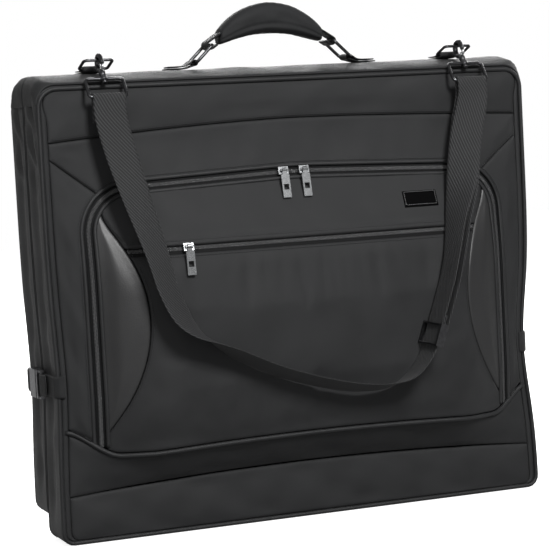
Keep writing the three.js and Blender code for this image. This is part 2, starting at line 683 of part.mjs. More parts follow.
// ---- shoulder strap --------------------------------------------------------------------------------
// The hook's own plane: e1 points from the ring's wire to the webbing, e3 across, both in the YZ plane.
const HOOK_DIR = vec(0, LOOP_BAR[0] - RING_BOW[0], LOOP_BAR[1] - RING_BOW[1]).normalize();
const HOOK_ACROSS = vec(0, -HOOK_DIR.z, HOOK_DIR.y);
const HOOK_LENGTH = Math.hypot(LOOP_BAR[0] - RING_BOW[0], LOOP_BAR[1] - RING_BOW[1]);
const COLLAR_AT = 27;

function addHook(name, side) {
  const origin = vec(side * HARDWARE_X, ...RING_BOW);
  const place = (a, b) => origin.clone().addScaledVector(HOOK_DIR, a).addScaledVector(HOOK_ACROSS, b);
  const bend = 8.1;
  const corners = [
    [9.5, -8.2], [-4.3, -8.2, bend], [-4.3, 8.2, bend], [9, 8.2, 5], [16, 0, 5], [31.5, 0]];
  const line = roundedLine(corners);
  const wire = sweep(planarStations(line, place, axisX), roundSection(2.2, 8));
  const head = rod(place(31, 0), place(33.4, 0), 3.4);
  add(`hook_${name}`, combine([wire, head]), gunmetal());
  add(`hook_gate_${name}`, rod(place(11, -8.2), place(17, -4.9), 1.5), steel());

  const loop = wireRing(place(COLLAR_AT, 0), place(HOOK_LENGTH, 0), axisX, STRAP_WIDTH + 6, 2, 4);
  const collar = rod(place(COLLAR_AT - 3, 0), place(COLLAR_AT + 3, 0), 4.6);
  const bore = rod(place(COLLAR_AT - 4, 0), place(COLLAR_AT + 4, 0), 2.7);
  add(`strap_loop_${name}`, combine([loop, collar], [bore]), gunmetal());
}

// The strap's front layer from the right hook down, under, and up to the left hook: x, y, z, and twist
// in degrees away from lying flat against the bag.
const RUN_LOW = vec(127, -102, 190);
const RUN_HIGH = vec(156, -102, 271);
const RUN_TWIST = 88;
const STRAP_PATH_RIGHT = [
  [HARDWARE_X, -52, 486, 0], [213, -56, 440, 18], [196, -70, 382, 52], [179, -86, 340, 82], [166, -99, 303, 88]];
const STRAP_PATH_LEFT = [
  [107, -101, 166, 92], [82, -98, 155, 106], [40, -98, 156, 110], [-10, -98, 168, 110], [-62, -98, 186, 110],
  [-108, -98, 209, 106], [-135, -98, 225, 90], [-156, -98, 240, 62], [-171, -97, 258, 42], [-183, -93, 287, 38],
  [-189, -88, 315, 34], [-195, -81, 343, 30], [-209, -68, 399, 16], [-220, -56, 450, 4],
  [-HARDWARE_X, -52, 486, 0]];

function flatSide(along) {
  return along.clone().cross(axisY).normalize();
}

function twistedSide(along, degrees) {
  const flat = flatSide(along);
  const out = along.clone().cross(flat).normalize();
  const toFront = out.y > 0 ? out.negate() : out;
  const turned = flat.multiplyScalar(Math.cos(rad(degrees)));
  return turned.addScaledVector(toFront, Math.sin(rad(degrees))).normalize();
}

const RUN_DIR = RUN_HIGH.clone().sub(RUN_LOW).normalize();
const RUN_SIDE = twistedSide(RUN_DIR.clone().negate(), RUN_TWIST);
const RUN_BEHIND = RUN_DIR.clone().cross(RUN_SIDE).normalize();
if (RUN_BEHIND.y < 0) {
  RUN_BEHIND.negate();
}
const ADJUSTER_AT = RUN_LOW.clone().addScaledVector(RUN_DIR, 22);
const BAR_BEHIND = 4.8;          // the adjuster's middle bar behind the front layer
const LAYER_WRAP = 2.5;
const LAYER_APART = BAR_BEHIND + LAYER_WRAP;

// Points round the bar of a hook's loop, from behind the bar to its front.
function barWrap(x, fromBehind) {
  const radius = 2 + CLEAR + 0.3 + STRAP_THICK / 2;
  const angles = [0, 45, 90, 135, 180];
  const points = angles.map((angle) => vec(x, LOOP_BAR[0] + radius * Math.cos(rad(angle)),
    LOOP_BAR[1] + radius * Math.sin(rad(angle))));
  return fromBehind ? points : points.reverse();
}

// Gives each control point its side direction from the line's own direction and its twist. At both
// ends the strap is square to the bars of the hooks' loops.
function withSides(points) {
  return points.map(({ p, twist }, i) => {
    const from = points[Math.max(i - 1, 0)].p;
    const to = points[Math.min(i + 1, points.length - 1)].p;
    const along = to.clone().sub(from).normalize();
    const isEnd = i === 0 || i === points.length - 1;
    const side = isEnd ? axisX.clone() : twistedSide(along, twist);
    const behind = along.clone().cross(side).normalize();
    return { p, side, behind: behind.y < 0 ? behind.negate() : behind };
  });
}

function strapControls() {
  const fromList = ([x, y, z, twist]) => ({ p: vec(x, y, z), twist });
  const run = [1, 0.86, 0.09, 0].map((t) => ({ p: RUN_LOW.clone().lerp(RUN_HIGH, t), twist: RUN_TWIST }));
  const front = withSides([...STRAP_PATH_RIGHT.map(fromList), ...run, ...STRAP_PATH_LEFT.map(fromList)]);
  const behind = front.slice(0, STRAP_PATH_RIGHT.length + 2).map(({ p, side, behind: away }) => (
    { p: p.clone().addScaledVector(away, LAYER_APART), side })).reverse();

  const nearBar = [
    [24, 0], [8, 0], [0, 0], [-1.8, 0.7], [-LAYER_WRAP, LAYER_WRAP],
    [-1.8, 2 * LAYER_WRAP - 0.7], [0, 2 * LAYER_WRAP], [8, 2 * LAYER_WRAP]];
  const tail = nearBar.map(([t, n]) => ({
    p: ADJUSTER_AT.clone().addScaledVector(RUN_DIR, t).addScaledVector(RUN_BEHIND, BAR_BEHIND - LAYER_WRAP + n),
    side: RUN_SIDE }));
  const flat = (p) => ({ p, side: axisX });
  const leftTail = [490, 476].map((z) => flat(vec(-HARDWARE_X, LOOP_BAR[0] + 3.6, z)));
  return [...tail, ...behind, ...barWrap(HARDWARE_X, true).map(flat), ...front,
    ...barWrap(-HARDWARE_X, false).map(flat), ...leftTail];
}

// Finely spaced stations along a 3D line of control points, each with its side direction.
function fineStations(controls) {
  const perControl = 16;
  const curve = new THREE.CatmullRomCurve3(controls.map(({ p }) => p), false, 'centripetal');
  const last = controls.length - 1;
  const stations = [];
  for (let k = 0; k <= last * perControl; k += 1) {
    const u = k / perControl;
    const i = Math.min(Math.floor(u), last - 1);
    const before = k === 0 ? controls[0].side : stations.at(-1).s;
    const [a, b] = [controls[i].side, controls[i + 1].side].map((side) => (
      side.clone().multiplyScalar(side.dot(before) < 0 ? -1 : 1)));
    stations.push({ p: curve.getPoint(u / last), along: curve.getTangent(u / last), s: a.lerp(b, u - i) });
  }
  return stations;
}

// Evens out the twist, squares each side to the line, and keeps the stations that the shape needs.
function twistedStations(controls) {
  const passes = 60;
  const longest = 12;
  const sharpest = Math.cos(rad(22));
  const fine = fineStations(controls);
  for (let pass = 0; pass < passes; pass += 1) {
    const sides = fine.map(({ s }) => s.clone());
    for (let i = 1; i < fine.length - 1; i += 1) {
      fine[i].s.add(sides[i - 1]).add(sides[i + 1]).normalize();
    }
  }
  for (const station of fine) {
    station.s.addScaledVector(station.along, -station.s.dot(station.along)).normalize();
    station.n = station.along.clone().cross(station.s).normalize();
  }
  const kept = [fine[0]];
  fine.slice(1).forEach((station, i) => {
    const from = kept.at(-1);
    const isFar = station.p.distanceTo(from.p) > longest;
    const isTurned = station.n.dot(from.n) < sharpest || station.along.dot(from.along) < sharpest;
    if (isFar || isTurned || i === fine.length - 2) {
      kept.push(station);
    }
  });
  return kept;
}

function addShoulderStrap() {
  const stations = twistedStations(strapControls());
  add('shoulder_webbing', sweep(stations, rectSection(STRAP_WIDTH, STRAP_THICK)), webbing());
}

// Places a geometry drawn in a local frame of three axes.
function inFrame(geometry, x, y, z, origin) {
  const matrix = new THREE.Matrix4().makeBasis(x, y, z).setPosition(origin);
  return geometry.applyMatrix4(matrix);
}

function addAdjuster() {
  const reach = STRAP_WIDTH / 2 + 2.6;
  const bars = [[0, 0], [-12, -BAR_BEHIND - 2.6], [12, -BAR_BEHIND - 2.6]];
  const rods = bars.map(([t, n]) => rod(vec(-reach, t, n), vec(reach, t, n), 1.2));
  const plates = [-1, 1].map((side) => box(2.4, 27, 10.4, side * reach, 0, -3.8));
  const centre = ADJUSTER_AT.clone().addScaledVector(RUN_BEHIND, BAR_BEHIND);
  const s = RUN_DIR.clone().cross(RUN_BEHIND).normalize();
  add('strap_adjuster', inFrame(combine([...rods, ...plates]), s, RUN_DIR, RUN_BEHIND, centre), gunmetal());
}

// ---- zip sliders -----------------------------------------------------------------------------------
const BAIL_HEIGHT = 8.6;
const PULL_LENGTH = 33;

// up points along the tape's width, out away from the bag; both lie in the YZ plane.
function addSlider(name, x, base, up, out) {
  const across = up.clone().cross(out).normalize();
  const body = box(12, 9, 4.6, 0, 0, 3.2);
  const groove = box(14, COIL_WIDTH + 1.2, 3, 0, 0, 0.7);
  const posts = [-1, 1].map((side) => box(1.6, 2.4, 4.4, side * 4.2, 0, 6.9));
  const bail = rod(vec(-4.9, 0, BAIL_HEIGHT), vec(4.9, 0, BAIL_HEIGHT), 0.9);
  const solid = combine([body, ...posts, bail], [groove]);
  add(`${name}_slider`, inFrame(solid, across, up, out, base), steel());
  return base.clone().addScaledVector(out, BAIL_HEIGHT);
}

// A pull tab that hangs from eye towards target.
function addPull(name, eye, target, out) {
  const down = target.clone().sub(eye).normalize();
  const face = axisX.clone().cross(down).normalize();
  if (face.dot(out) < 0) {
    face.negate();
  }
  const across = down.clone().cross(face).normalize();
  const knuckle = rod(vec(-2.8, 0, 0), vec(2.8, 0, 0), 2.5);
  const neck = box(5, 1.8, 7, 0, 0, -3.5);
  const tab = box(10, 1.8, PULL_LENGTH - 6, 0, 0, -6 - (PULL_LENGTH - 6) / 2);
  const bore = rod(vec(-4, 0, 0), vec(4, 0, 0), 1.4);
  const window = box(6.3, 4, 6.6, 0, 0, -20.5);
  const solid = combine([knuckle, neck, tab], [bore, window]);
  add(`${name}_pull`, inFrame(solid, across, face, down.negate(), eye), steel());
}

function addFrontSlider(name, x, z) {
  const step = 2;
  const above = onFront(new THREE.Vector2(x, z + step));
  const up = above.sub(onFront(new THREE.Vector2(x, z - step))).normalize();
  const out = axisX.clone().cross(up).normalize();
  if (out.y > 0) {
    out.negate();
  }
  const base = onFront(new THREE.Vector2(x, z));
  const eye = addSlider(name, x, base, up, out);
  const low = z - PULL_LENGTH;
  addPull(name, eye, vec(x, Math.min(frontY(x, low) - 3.5, eye.y - 1), low), out);
}

function addSliders() {
  const [leftX, rightX] = MAIN_SLIDER_X;
  addFrontSlider('main_left', leftX, MAIN_ZIP_Z - zipBow(leftX));
  addFrontSlider('main_right', rightX, MAIN_ZIP_Z - zipBow(rightX));
  addFrontSlider('pocket', POCKET_SLIDER_X, POCKET_ZIP_Z);
  const base = vec(BACK_SLIDER_X, BACK_Y + BACK_CROWN + CLEAR + TAPE_THICK, BACK_ZIP_Z);
  const eye = addSlider('back', BACK_SLIDER_X, base, vec(0, 0, 1), axisY.clone());
  addPull('back', eye, eye.clone().add(vec(0, 0, -PULL_LENGTH)), axisY.clone());
}

// ---- side buckles ----------------------------------------------------------------------------------
const BUCKLE_HEIGHT = 33;
const BUCKLE_THICK = 9;
const PLUG_BAR_Y = 10;
const SOCKET_BAR_Y = 56;
const BUCKLE_BAR_R = 1.5;

function addBuckle(name, side) {
  const wall = halfWidth(side, BUCKLE_Z) + 1.3;
  const middle = wall + 1 + BUCKLE_THICK / 2;
  const at = (y, z) => vec(side * middle, y, BUCKLE_Z + z);
  const block = (thick, sizeY, sizeZ, y, z) => box(thick, sizeY, sizeZ, side * middle, y, BUCKLE_Z + z);
  const bar = (y) => rod(at(y, -BUCKLE_HEIGHT / 2 + 1), at(y, BUCKLE_HEIGHT / 2 - 1), BUCKLE_BAR_R);
  const arms = (y, length) => [-1, 1].map((end) => block(5, length, 2.6, y, end * (BUCKLE_HEIGHT / 2 - 1.3)));

  const prongs = [-1, 1].flatMap((end) => [
    block(4, 18, 3, 30, end * 9.5),
    block(4, 6, 4.6, 37, end * 11.2)]);
  const plugBase = block(BUCKLE_THICK - 1, 5, BUCKLE_HEIGHT, 19.5, 0);
  const tongue = block(3, 16, 4, 29, 0);
  const plug = combine([bar(PLUG_BAR_Y), ...arms(14, 11), plugBase, ...prongs, tongue]);
  add(`buckle_plug_${name}`, plug, gunmetal());

  const shell = block(BUCKLE_THICK, 25, BUCKLE_HEIGHT, 36, 0);
  const cavity = block(BUCKLE_THICK - 3, 22, 24, 34, 0);
  const windows = block(BUCKLE_THICK - 3, 9, BUCKLE_HEIGHT + 2, 37.5, 0);
  const back = [...arms(51, 12), bar(SOCKET_BAR_Y)];
  add(`buckle_socket_${name}`, combine([shell, ...back], [cavity, windows]), gunmetal());

  addSideStrap(`buckle_strap_front_${name}`, side, wall, middle, FRONT_Y + 7, PLUG_BAR_Y, 1);
  addSideStrap(`buckle_strap_back_${name}`, side, wall, middle, BACK_Y - 7, SOCKET_BAR_Y, -1);
}

// A strip sewn to the gusset at seamY, round the buckle's bar at barY, and back above itself.
function addSideStrap(name, side, wall, middle, seamY, barY, way) {
  const wrap = BUCKLE_BAR_R + CLEAR + STRAP_THICK / 2;
  const low = wall + 0.2 + STRAP_THICK / 2;
  const points = [[seamY, low], [lerp(seamY, barY, 0.5), low], [barY - way * 6, lerp(low, middle - wrap, 0.8)]];
  for (let k = 0; k <= 6; k += 1) {
    const angle = lerp(-Math.PI / 2, Math.PI * 0.6, k / 6);
    points.push([barY + way * wrap * Math.cos(angle), middle + wrap * Math.sin(angle)]);
  }
  points.push([barY - way * 8, middle + wrap - 0.8], [barY - way * 17, middle + 0.2]);
  const line = points.map(([y, x]) => new THREE.Vector2(y, x));
  const place = (y, x) => vec(side * x, y, BUCKLE_Z);
  const stations = planarStations(line, place, vec(0, 0, 1));
  add(name, sweep(stations, rectSection(SIDE_STRAP_WIDTH, STRAP_THICK)), webbing());
}

function addStrap() {
  for (const [name, side] of SIDES) {
    addHook(name, side);
  }
  addShoulderStrap();
  addAdjuster();
}

addFrontHalf();
addBackHalf();
addHangerClamp();
addSpine();
addHandle();
addStrap();
addSliders();
for (const [name, side] of SIDES) {
  addBuckle(name, side);
}

export default bag;
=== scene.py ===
"""Looks for the folded garment bag: sewn panels, gussets, webbing, zips, hardware, light and camera.

Lengths are millimetres in the part's own frame until a mesh is made.
"""
import math

import bpy
import numpy as np
from mathutils import Matrix, Vector


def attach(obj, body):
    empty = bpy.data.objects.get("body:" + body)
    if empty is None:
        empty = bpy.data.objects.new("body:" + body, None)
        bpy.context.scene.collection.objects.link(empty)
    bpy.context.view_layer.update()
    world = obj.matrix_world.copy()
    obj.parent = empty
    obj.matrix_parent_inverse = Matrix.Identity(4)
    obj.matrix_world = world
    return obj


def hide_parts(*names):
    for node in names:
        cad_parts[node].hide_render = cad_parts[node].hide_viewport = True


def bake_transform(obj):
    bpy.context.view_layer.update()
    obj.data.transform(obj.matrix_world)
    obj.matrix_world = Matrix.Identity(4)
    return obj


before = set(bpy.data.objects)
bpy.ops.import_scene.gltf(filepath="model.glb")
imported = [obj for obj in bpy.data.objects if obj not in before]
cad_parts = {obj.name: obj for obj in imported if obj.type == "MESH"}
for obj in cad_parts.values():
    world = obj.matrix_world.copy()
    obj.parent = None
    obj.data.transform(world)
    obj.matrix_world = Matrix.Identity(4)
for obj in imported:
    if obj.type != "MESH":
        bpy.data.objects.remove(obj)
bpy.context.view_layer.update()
MM = 0.001

# ---- driving dimensions, the same as the CAD part's ------------------------------------------------
WIDTH = 610
HEIGHT = 521
HALF_DEPTH = 56
HALF_GAP = 4
BACK_LIFT = 22
PIPING_R = 2.5
EDGE = 5.2                      # cloth starts this far inside the outline
BAND = 6.4                      # width of the narrow strip down each side of the front
PIPING_CLEAR = PIPING_R + 0.4   # how far cloth stays from the middle of a piping
SQUARE_CORNER_R = 10            # the top corners are squarer behind the front panel than at it
SQUARE_BY = 14
FRONT_Y = -HALF_DEPTH / 2
FRONT_INNER_Y = HALF_DEPTH / 2
BACK_INNER_Y = FRONT_INNER_Y + HALF_GAP
BACK_Y = BACK_INNER_Y + HALF_DEPTH
SPINE_MID_Y = (FRONT_Y + BACK_Y) / 2
SPINE_CROWN = 11
TOP_Z = HEIGHT - 2
TOP_CORNER_R = 24
BOTTOM_CORNER_R = 14
BUCKLE_Z = 182
PINCH_SPREAD = 85
PINCH_LEFT = 4
PINCH_RIGHT = 12

POCKET_SWELL = 47
SWELL_FULL_X = 175
SWELL_TOP_Z = 450
SWELL_FULL_Z = 280
SWELL_TUCK = 0.18               # share of the swell lost where the pocket turns in to its lower seam
SWELL_TUCK_Z = 60
MAIN_ZIP_Z = 409
MAIN_ZIP_X = 256
MAIN_ZIP_R = 52
MAIN_ZIP_BOW = 7
ZIP_PEAK_R = 20                 # how gently the main zip turns at its middle
POCKET_ZIP_Z = 330
ZIP_OPEN = 5.6                  # from a zip's middle to the cloth's edge
TAPE_HALF = 8
CRESCENT_LOW_Z = 124
CRESCENT_HIGH_Z = 380
CRESCENT_INNER_X = 199
HEM_Z = 54
BACK_CROWN = 6
BACK_ZIP_Z = 330
BACK_ZIP_X = 200
PIPING_END_Z = 130

STRAP_WIDTH = 38
STRAP_THICK = 1.6
WEB_CLEARANCE = 0.4             # between webbing and the bar that it wraps
SIDE_STRAP_WIDTH = 25
RING_TAB_WIDTH = 25
PLUG_BAR_Y = 10
SOCKET_BAR_Y = 56
BUCKLE_BAR_R = 1.5
HARDWARE_X = 226
RING_BAR = (8, 538)
RING_BOW = (-17, 547)
LOOP_BAR = (-48, 505)
LOOP_WIRE_R = 2
LOOP_CLEARANCE = 0.7
RING_WIDTH = 34
RING_WIRE_R = 1.75
HANDLE_FOOT_X = 98
HANDLE_FOOT_Z = 541
HANDLE_TOP_X = 77
HANDLE_TOP_Z = 561
HANDLE_CROWN_Z = 592
HANDLE_WIDTH = 24
HANDLE_THICK = 2.4
HANDLE_RING_R = 2
GRIP_REACH = 64
GRIP_HALF_DEPTH = 14.8
GRIP_HALF_HEIGHT = 18.5
GRIP_END_HALF_HEIGHT = 5
GRIP_SQUARENESS = 2.6           # 2 is an ellipse, more is a squarer section

SIDES = (("left", -1), ("right", 1))
X_AXIS = np.array([1.0, 0.0, 0.0])
Y_AXIS = np.array([0.0, 1.0, 0.0])
Z_AXIS = np.array([0.0, 0.0, 1.0])


# ---- shape of the bag ------------------------------------------------------------------------------
def smooth(t):
    t = np.clip(t, 0, 1)
    return t * t * (3 - 2 * t)


def lerp(a, b, t):
    return a + (b - a) * t


def half_width(side, z):
    pull = np.where(np.asarray(side) > 0, PINCH_RIGHT, PINCH_LEFT)
    return WIDTH / 2 - pull * np.exp(-(((z - BUCKLE_Z) / PINCH_SPREAD) ** 2))


def smile_z(x):
    """The piped seam under the stuffed pocket."""
    return 105 - 5 * np.minimum((x / 200) ** 2, 1) + 30 * smooth((np.abs(x) - 235) / 62)


def crease_z(x):
    """The crease where the pocket's underside meets the plain strip along the bottom."""
    return HEM_Z + 12 * (1 - (x / 300) ** 2)


def front_y(x, z):
    reach = smooth((WIDTH / 2 - np.abs(x)) / (WIDTH / 2 - SWELL_FULL_X))
    low = crease_z(x)
    high = smile_z(x)
    tuck = 1 - SWELL_TUCK * (1 - smooth((z - high) / SWELL_TUCK_Z))
    under = np.clip((z - low) / (high - low), 0, 1) * (1 - SWELL_TUCK)
    over = smooth((SWELL_TOP_Z - z) / (SWELL_TOP_Z - SWELL_FULL_Z)) * tuck
    return FRONT_Y - POCKET_SWELL * reach * np.where(z < high, under, over)


def back_y(x, z):
    across = smooth((WIDTH / 2 - 6 - np.abs(x)) / 70)
    up = smooth((z - BACK_LIFT - 6) / 70) * smooth((HEIGHT - 8 - z) / 70)
    return BACK_Y + BACK_CROWN * across * up


ZIP_CORNER_X = MAIN_ZIP_X - MAIN_ZIP_R


def zip_fall(x):
    return np.hypot(np.minimum(np.abs(x), ZIP_CORNER_X), ZIP_PEAK_R) - ZIP_PEAK_R


def zip_bow(x):
    """The main zip falls evenly from its middle to its corners."""
    return MAIN_ZIP_BOW * zip_fall(x) / zip_fall(ZIP_CORNER_X)


ZIP_CORNER_Z = MAIN_ZIP_Z - MAIN_ZIP_BOW - MAIN_ZIP_R


def zip_top(x, offset):
    """Height of the main zip's line, moved outward by offset, over its top run and corners."""
    radius = MAIN_ZIP_R + offset
    over = np.clip(np.abs(x) - ZIP_CORNER_X, 0, radius)
    corner = ZIP_CORNER_Z + np.sqrt(radius ** 2 - over ** 2)
    return np.where(np.abs(x) > ZIP_CORNER_X, corner, MAIN_ZIP_Z + offset - zip_bow(x))


def zip_side(z, offset):
    """Distance of the main zip's line from the middle, moved outward by offset, by height."""
    radius = MAIN_ZIP_R + offset
    rise = np.clip(z - ZIP_CORNER_Z, 0, radius)
    return ZIP_CORNER_X + np.sqrt(radius ** 2 - rise ** 2)


def crescent_inner(z):
    t = (z - CRESCENT_LOW_Z) / (CRESCENT_HIGH_Z - CRESCENT_LOW_Z) * 2 - 1
    belly = np.maximum(1 - t * t, 0)
    side = zip_side(z, -ZIP_OPEN)
    return side - (side - CRESCENT_INNER_X) * belly


def yoke_z(x):
    """The seam across the upper front."""
    drop = np.where(x < 0, 16, 9)
    return 471 - drop * (np.abs(x) / 300) ** 1.6


def spine_top(y):
    t = (y - SPINE_MID_Y) / (BACK_Y - SPINE_MID_Y)
    return HEIGHT + 1 + SPINE_CROWN * (1 - t * t)


# ---- lines -----------------------------------------------------------------------------------------
def resample(points, step):
    """Evenly spaced points along a line, its two ends kept."""
    points = np.asarray(points, float)
    lengths = np.r_[0, np.cumsum(np.linalg.norm(np.diff(points, axis=0), axis=1))]
    count = max(2, int(round(lengths[-1] / step)) + 1)
    marks = np.linspace(0, lengths[-1], count)
    return np.stack([np.interp(marks, lengths, points[:, k]) for k in range(points.shape[1])], 1)


def at_depth(line, y):
    """A line in the front's plane, moved to a depth."""
    return np.stack([line[:, 0], np.full(len(line), y), line[:, 1]], 1)


def corner_radius(y):
    """Radius of the top corners at a depth."""
    depth = np.minimum(y - FRONT_Y, BACK_Y - y)
    return lerp(TOP_CORNER_R, SQUARE_CORNER_R, smooth(depth / SQUARE_BY))


def half_outline(side, low, inset, top=True, corner_r=TOP_CORNER_R):
    """One side of a half's outline, from the middle of its bottom round to the middle of its top."""
    low_centre = half_width(side, low + BOTTOM_CORNER_R) - BOTTOM_CORNER_R
    high_centre = half_width(side, TOP_Z - corner_r) - corner_r
    turn = np.linspace(0, math.pi / 2, 9)
    low_r = BOTTOM_CORNER_R - inset
    high_r = corner_r - inset
    bottom = np.stack([low_centre + low_r * np.sin(turn),
                       low + BOTTOM_CORNER_R - low_r * np.cos(turn)], 1)
    z = np.linspace(low + BOTTOM_CORNER_R, TOP_Z - corner_r, 90)[1:-1]
    flank = np.stack([half_width(side, z) - inset, z], 1)
    corner = np.stack([high_centre + high_r * np.cos(turn),
                       TOP_Z - corner_r + high_r * np.sin(turn)], 1)
    parts = [[[0, low + inset]], bottom, flank, corner]
    if top:
        parts.append([[0, TOP_Z - inset]])
    line = np.concatenate(parts)
    return line * [side, 1]


def outline(low, inset, top=True, corner_r=TOP_CORNER_R):
    """The outline from the top round the left side, the bottom and the right side."""
    left = half_outline(-1, low, inset, top, corner_r)[::-1]
    right = half_outline(1, low, inset, top, corner_r)[1:]
    return np.concatenate([left, right])


def edge_limit(side, z, low):
    """How far out a panel reaches at a height, with both corners rounded."""
    reach = half_width(side, z) - EDGE
    top_r = TOP_CORNER_R - EDGE
    low_r = BOTTOM_CORNER_R - EDGE
    up = np.clip(z - (TOP_Z - TOP_CORNER_R), 0, top_r)
    down = np.clip(low + BOTTOM_CORNER_R - z, 0, low_r)
    return reach - (top_r - np.sqrt(top_r ** 2 - up ** 2)) - (low_r - np.sqrt(low_r ** 2 - down ** 2))


def panel_limit(side, z):
    """How far out a front panel reaches: to the side strip, which narrows away at the top corner."""
    return edge_limit(side, z, 0) - BAND * (1 - smooth((z - 480) / 32))


# ---- meshes ----------------------------------------------------------------------------------------
def unit(v):
    return v / np.maximum(np.linalg.norm(v, axis=-1, keepdims=True), 1e-9)


def grid_faces(rows, columns, first=0, flip=False, wrap=False):
    spans = columns if wrap else columns - 1
    j, i = np.meshgrid(np.arange(rows - 1), np.arange(spans), indexing="ij")
    k = (i + 1) % columns
    a, b = j * columns + i, j * columns + k
    faces = np.stack([a, b, b + columns, a + columns], -1).reshape(-1, 4) + first
    return faces[:, ::-1] if flip else faces


def tube_faces(rows, columns, closed=False):
    """Faces of a tube of rings, either closed on itself or with a cap at each end."""
    last = (rows - 1) * columns
    if closed:
        ends = [[last + i, last + (i + 1) % columns, (i + 1) % columns, i] for i in range(columns)]
    else:
        ends = [list(range(columns))[::-1], [last + i for i in range(columns)]]
    return [list(f) for f in grid_faces(rows, columns, wrap=True)] + ends


def read_points(mesh):
    """A mesh's points in metres."""
    flat = np.empty(len(mesh.vertices) * 3)
    mesh.vertices.foreach_get("co", flat)
    return flat.reshape(-1, 3)


def make_object(name, points, faces, material, uv=None):
    """A smooth-shaded mesh object from points in millimetres."""
    mesh = bpy.data.meshes.new(name)
    points = np.asarray(points, float).reshape(-1, 3) * MM
    mesh.from_pydata(points.tolist(), [], [list(map(int, f)) for f in faces])
    if uv is not None:
        loops = np.empty(len(mesh.loops), int)
        mesh.loops.foreach_get("vertex_index", loops)
        layer = mesh.uv_layers.new(name="UVMap")
        layer.data.foreach_set("uv", np.asarray(uv, float).reshape(-1, 2)[loops].ravel())
    mesh.polygons.foreach_set("use_smooth", [True] * len(mesh.polygons))
    mesh.materials.append(material)
    mesh.update()
    obj = bpy.data.objects.new(name, mesh)
    bpy.context.scene.collection.objects.link(obj)
    return obj


def place_piece(obj, body, nodes=()):
    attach(obj, body)
    if nodes:
        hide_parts(*nodes)
    return obj


WAVE_COUNT = 5
WAVE_PEAK = 2.2                 # about the highest that the summed waves reach


def waves(a, b, seed, longest):
    """Smooth uneven ripples between about -1 and 1 over two coordinates."""
    rng = np.random.default_rng(seed)
    total = np.zeros_like(np.asarray(a, float) + b)
    for k in range(WAVE_COUNT):
        angle = rng.uniform(0, math.pi)
        turns = 2 * math.pi / (longest * 0.72 ** k)
        shift = rng.uniform(0, 2 * math.pi)
        total += 0.75 ** k * np.sin(turns * (a * math.cos(angle) + b * math.sin(angle)) + shift)
    return total / WAVE_PEAK


EDGE_MARKS = np.array([0, 0.5, 1.2, 2.2, 3.6, 5.4])     # rows of points beside a seam


def spaced(length, step):
    """Shares of a length, close together at both ends, where cloth rolls into a seam."""
    last = EDGE_MARKS[-1]
    inner = np.linspace(last, length - last, max(3, int((length - 2 * last) / step) + 1))
    marks = np.concatenate([EDGE_MARKS[:-1], inner, (length - EDGE_MARKS[:-1])[::-1]])
    return marks / length


def arc_lengths(points, axis):
    steps = np.linalg.norm(np.diff(points, axis=axis), axis=2)
    zero = np.zeros_like(np.take(steps, [0], axis=axis))
    return np.cumsum(np.concatenate([zero, steps], axis=axis), axis=axis)


def grid_normals(points, out):
    du = np.gradient(points, axis=1)
    dv = np.gradient(points, axis=0)
    n = unit(np.cross(du, dv))
    facing = np.sign((n * np.asarray(out, float)).sum(-1).mean() or 1)
    return n * facing


def run_cloth(obj, frames, pressure, **stiffness):
    """Lets Blender's cloth puff an object out, and returns its settled points in metres."""
    cloth = obj.modifiers.new("Cloth", "CLOTH")
    settings = cloth.settings
    settings.quality = 5
    settings.mass = 0.2
    settings.use_pressure = True
    settings.uniform_pressure_force = pressure
    settings.effector_weights.gravity = 0
    for key, value in stiffness.items():
        setattr(settings, key, value)
    cloth.point_cache.frame_end = frames
    for step in range(1, frames + 1):
        bpy.context.scene.frame_set(step)
    settled = read_points(obj.evaluated_get(bpy.context.evaluated_depsgraph_get()).data)
    obj.modifiers.remove(cloth)
    bpy.context.scene.frame_set(1)
    return settled


def settle(points, pins, pressure, slack, cap):
    """Puffs out a sheet of points; the pinned points stay, and no point moves more than cap."""
    rows, columns = points.shape[:2]
    sheet_obj = make_object("settling", points, grid_faces(rows, columns), bpy.data.materials[0])
    group = sheet_obj.vertex_groups.new(name="pins")
    group.add([int(i) for i in np.nonzero(pins.ravel())[0]], 1.0, "REPLACE")
    settled = run_cloth(sheet_obj, 14, pressure, tension_stiffness=15, compression_stiffness=10,
                        shear_stiffness=6, bending_stiffness=0.6, vertex_group_mass="pins", shrink_min=-slack)
    bpy.data.objects.remove(sheet_obj)
    move = settled.reshape(points.shape) / MM - points
    size = np.linalg.norm(move, axis=2, keepdims=True)
    return points + move * np.minimum(1, cap / np.maximum(size, 1e-9))


def puff_up(obj, cap):
    """Fills out a closed padded shape; no point moves more than cap."""
    before = read_points(obj.data)
    move = run_cloth(obj, 12, 3, bending_stiffness=0.8) - before
    size = np.linalg.norm(move, axis=1, keepdims=True)
    move = move * np.minimum(1, cap * MM / np.maximum(size, 1e-12))
    obj.data.vertices.foreach_set("co", (before + move).ravel())
    obj.data.update()


class Cloth:
    """How a sheet of cloth lies between its seams."""

    def __init__(self, seed, puff, ripple, ripple_length=120, thick=2.0, roll=2.2, pucker=0.22,
                 pressure=0, slack=0.004, cap=0):
        self.seed = seed
        self.puff = puff
        self.ripple = ripple
        self.ripple_length = ripple_length
        self.thick = thick
        self.roll = roll
        self.pucker = pucker
        self.pressure = pressure
        self.slack = slack
        self.cap = cap


ROLL_REACH = 4.5
SEAM_CALM = 30                  # how far from a seam the settled cloth reaches its full movement
PUFF_REACH = 26                 # how far from a seam the padding reaches its full height
RIPPLE_REACH = 14
PUCKER_PITCH = 11
PUCKER_FADE = 7


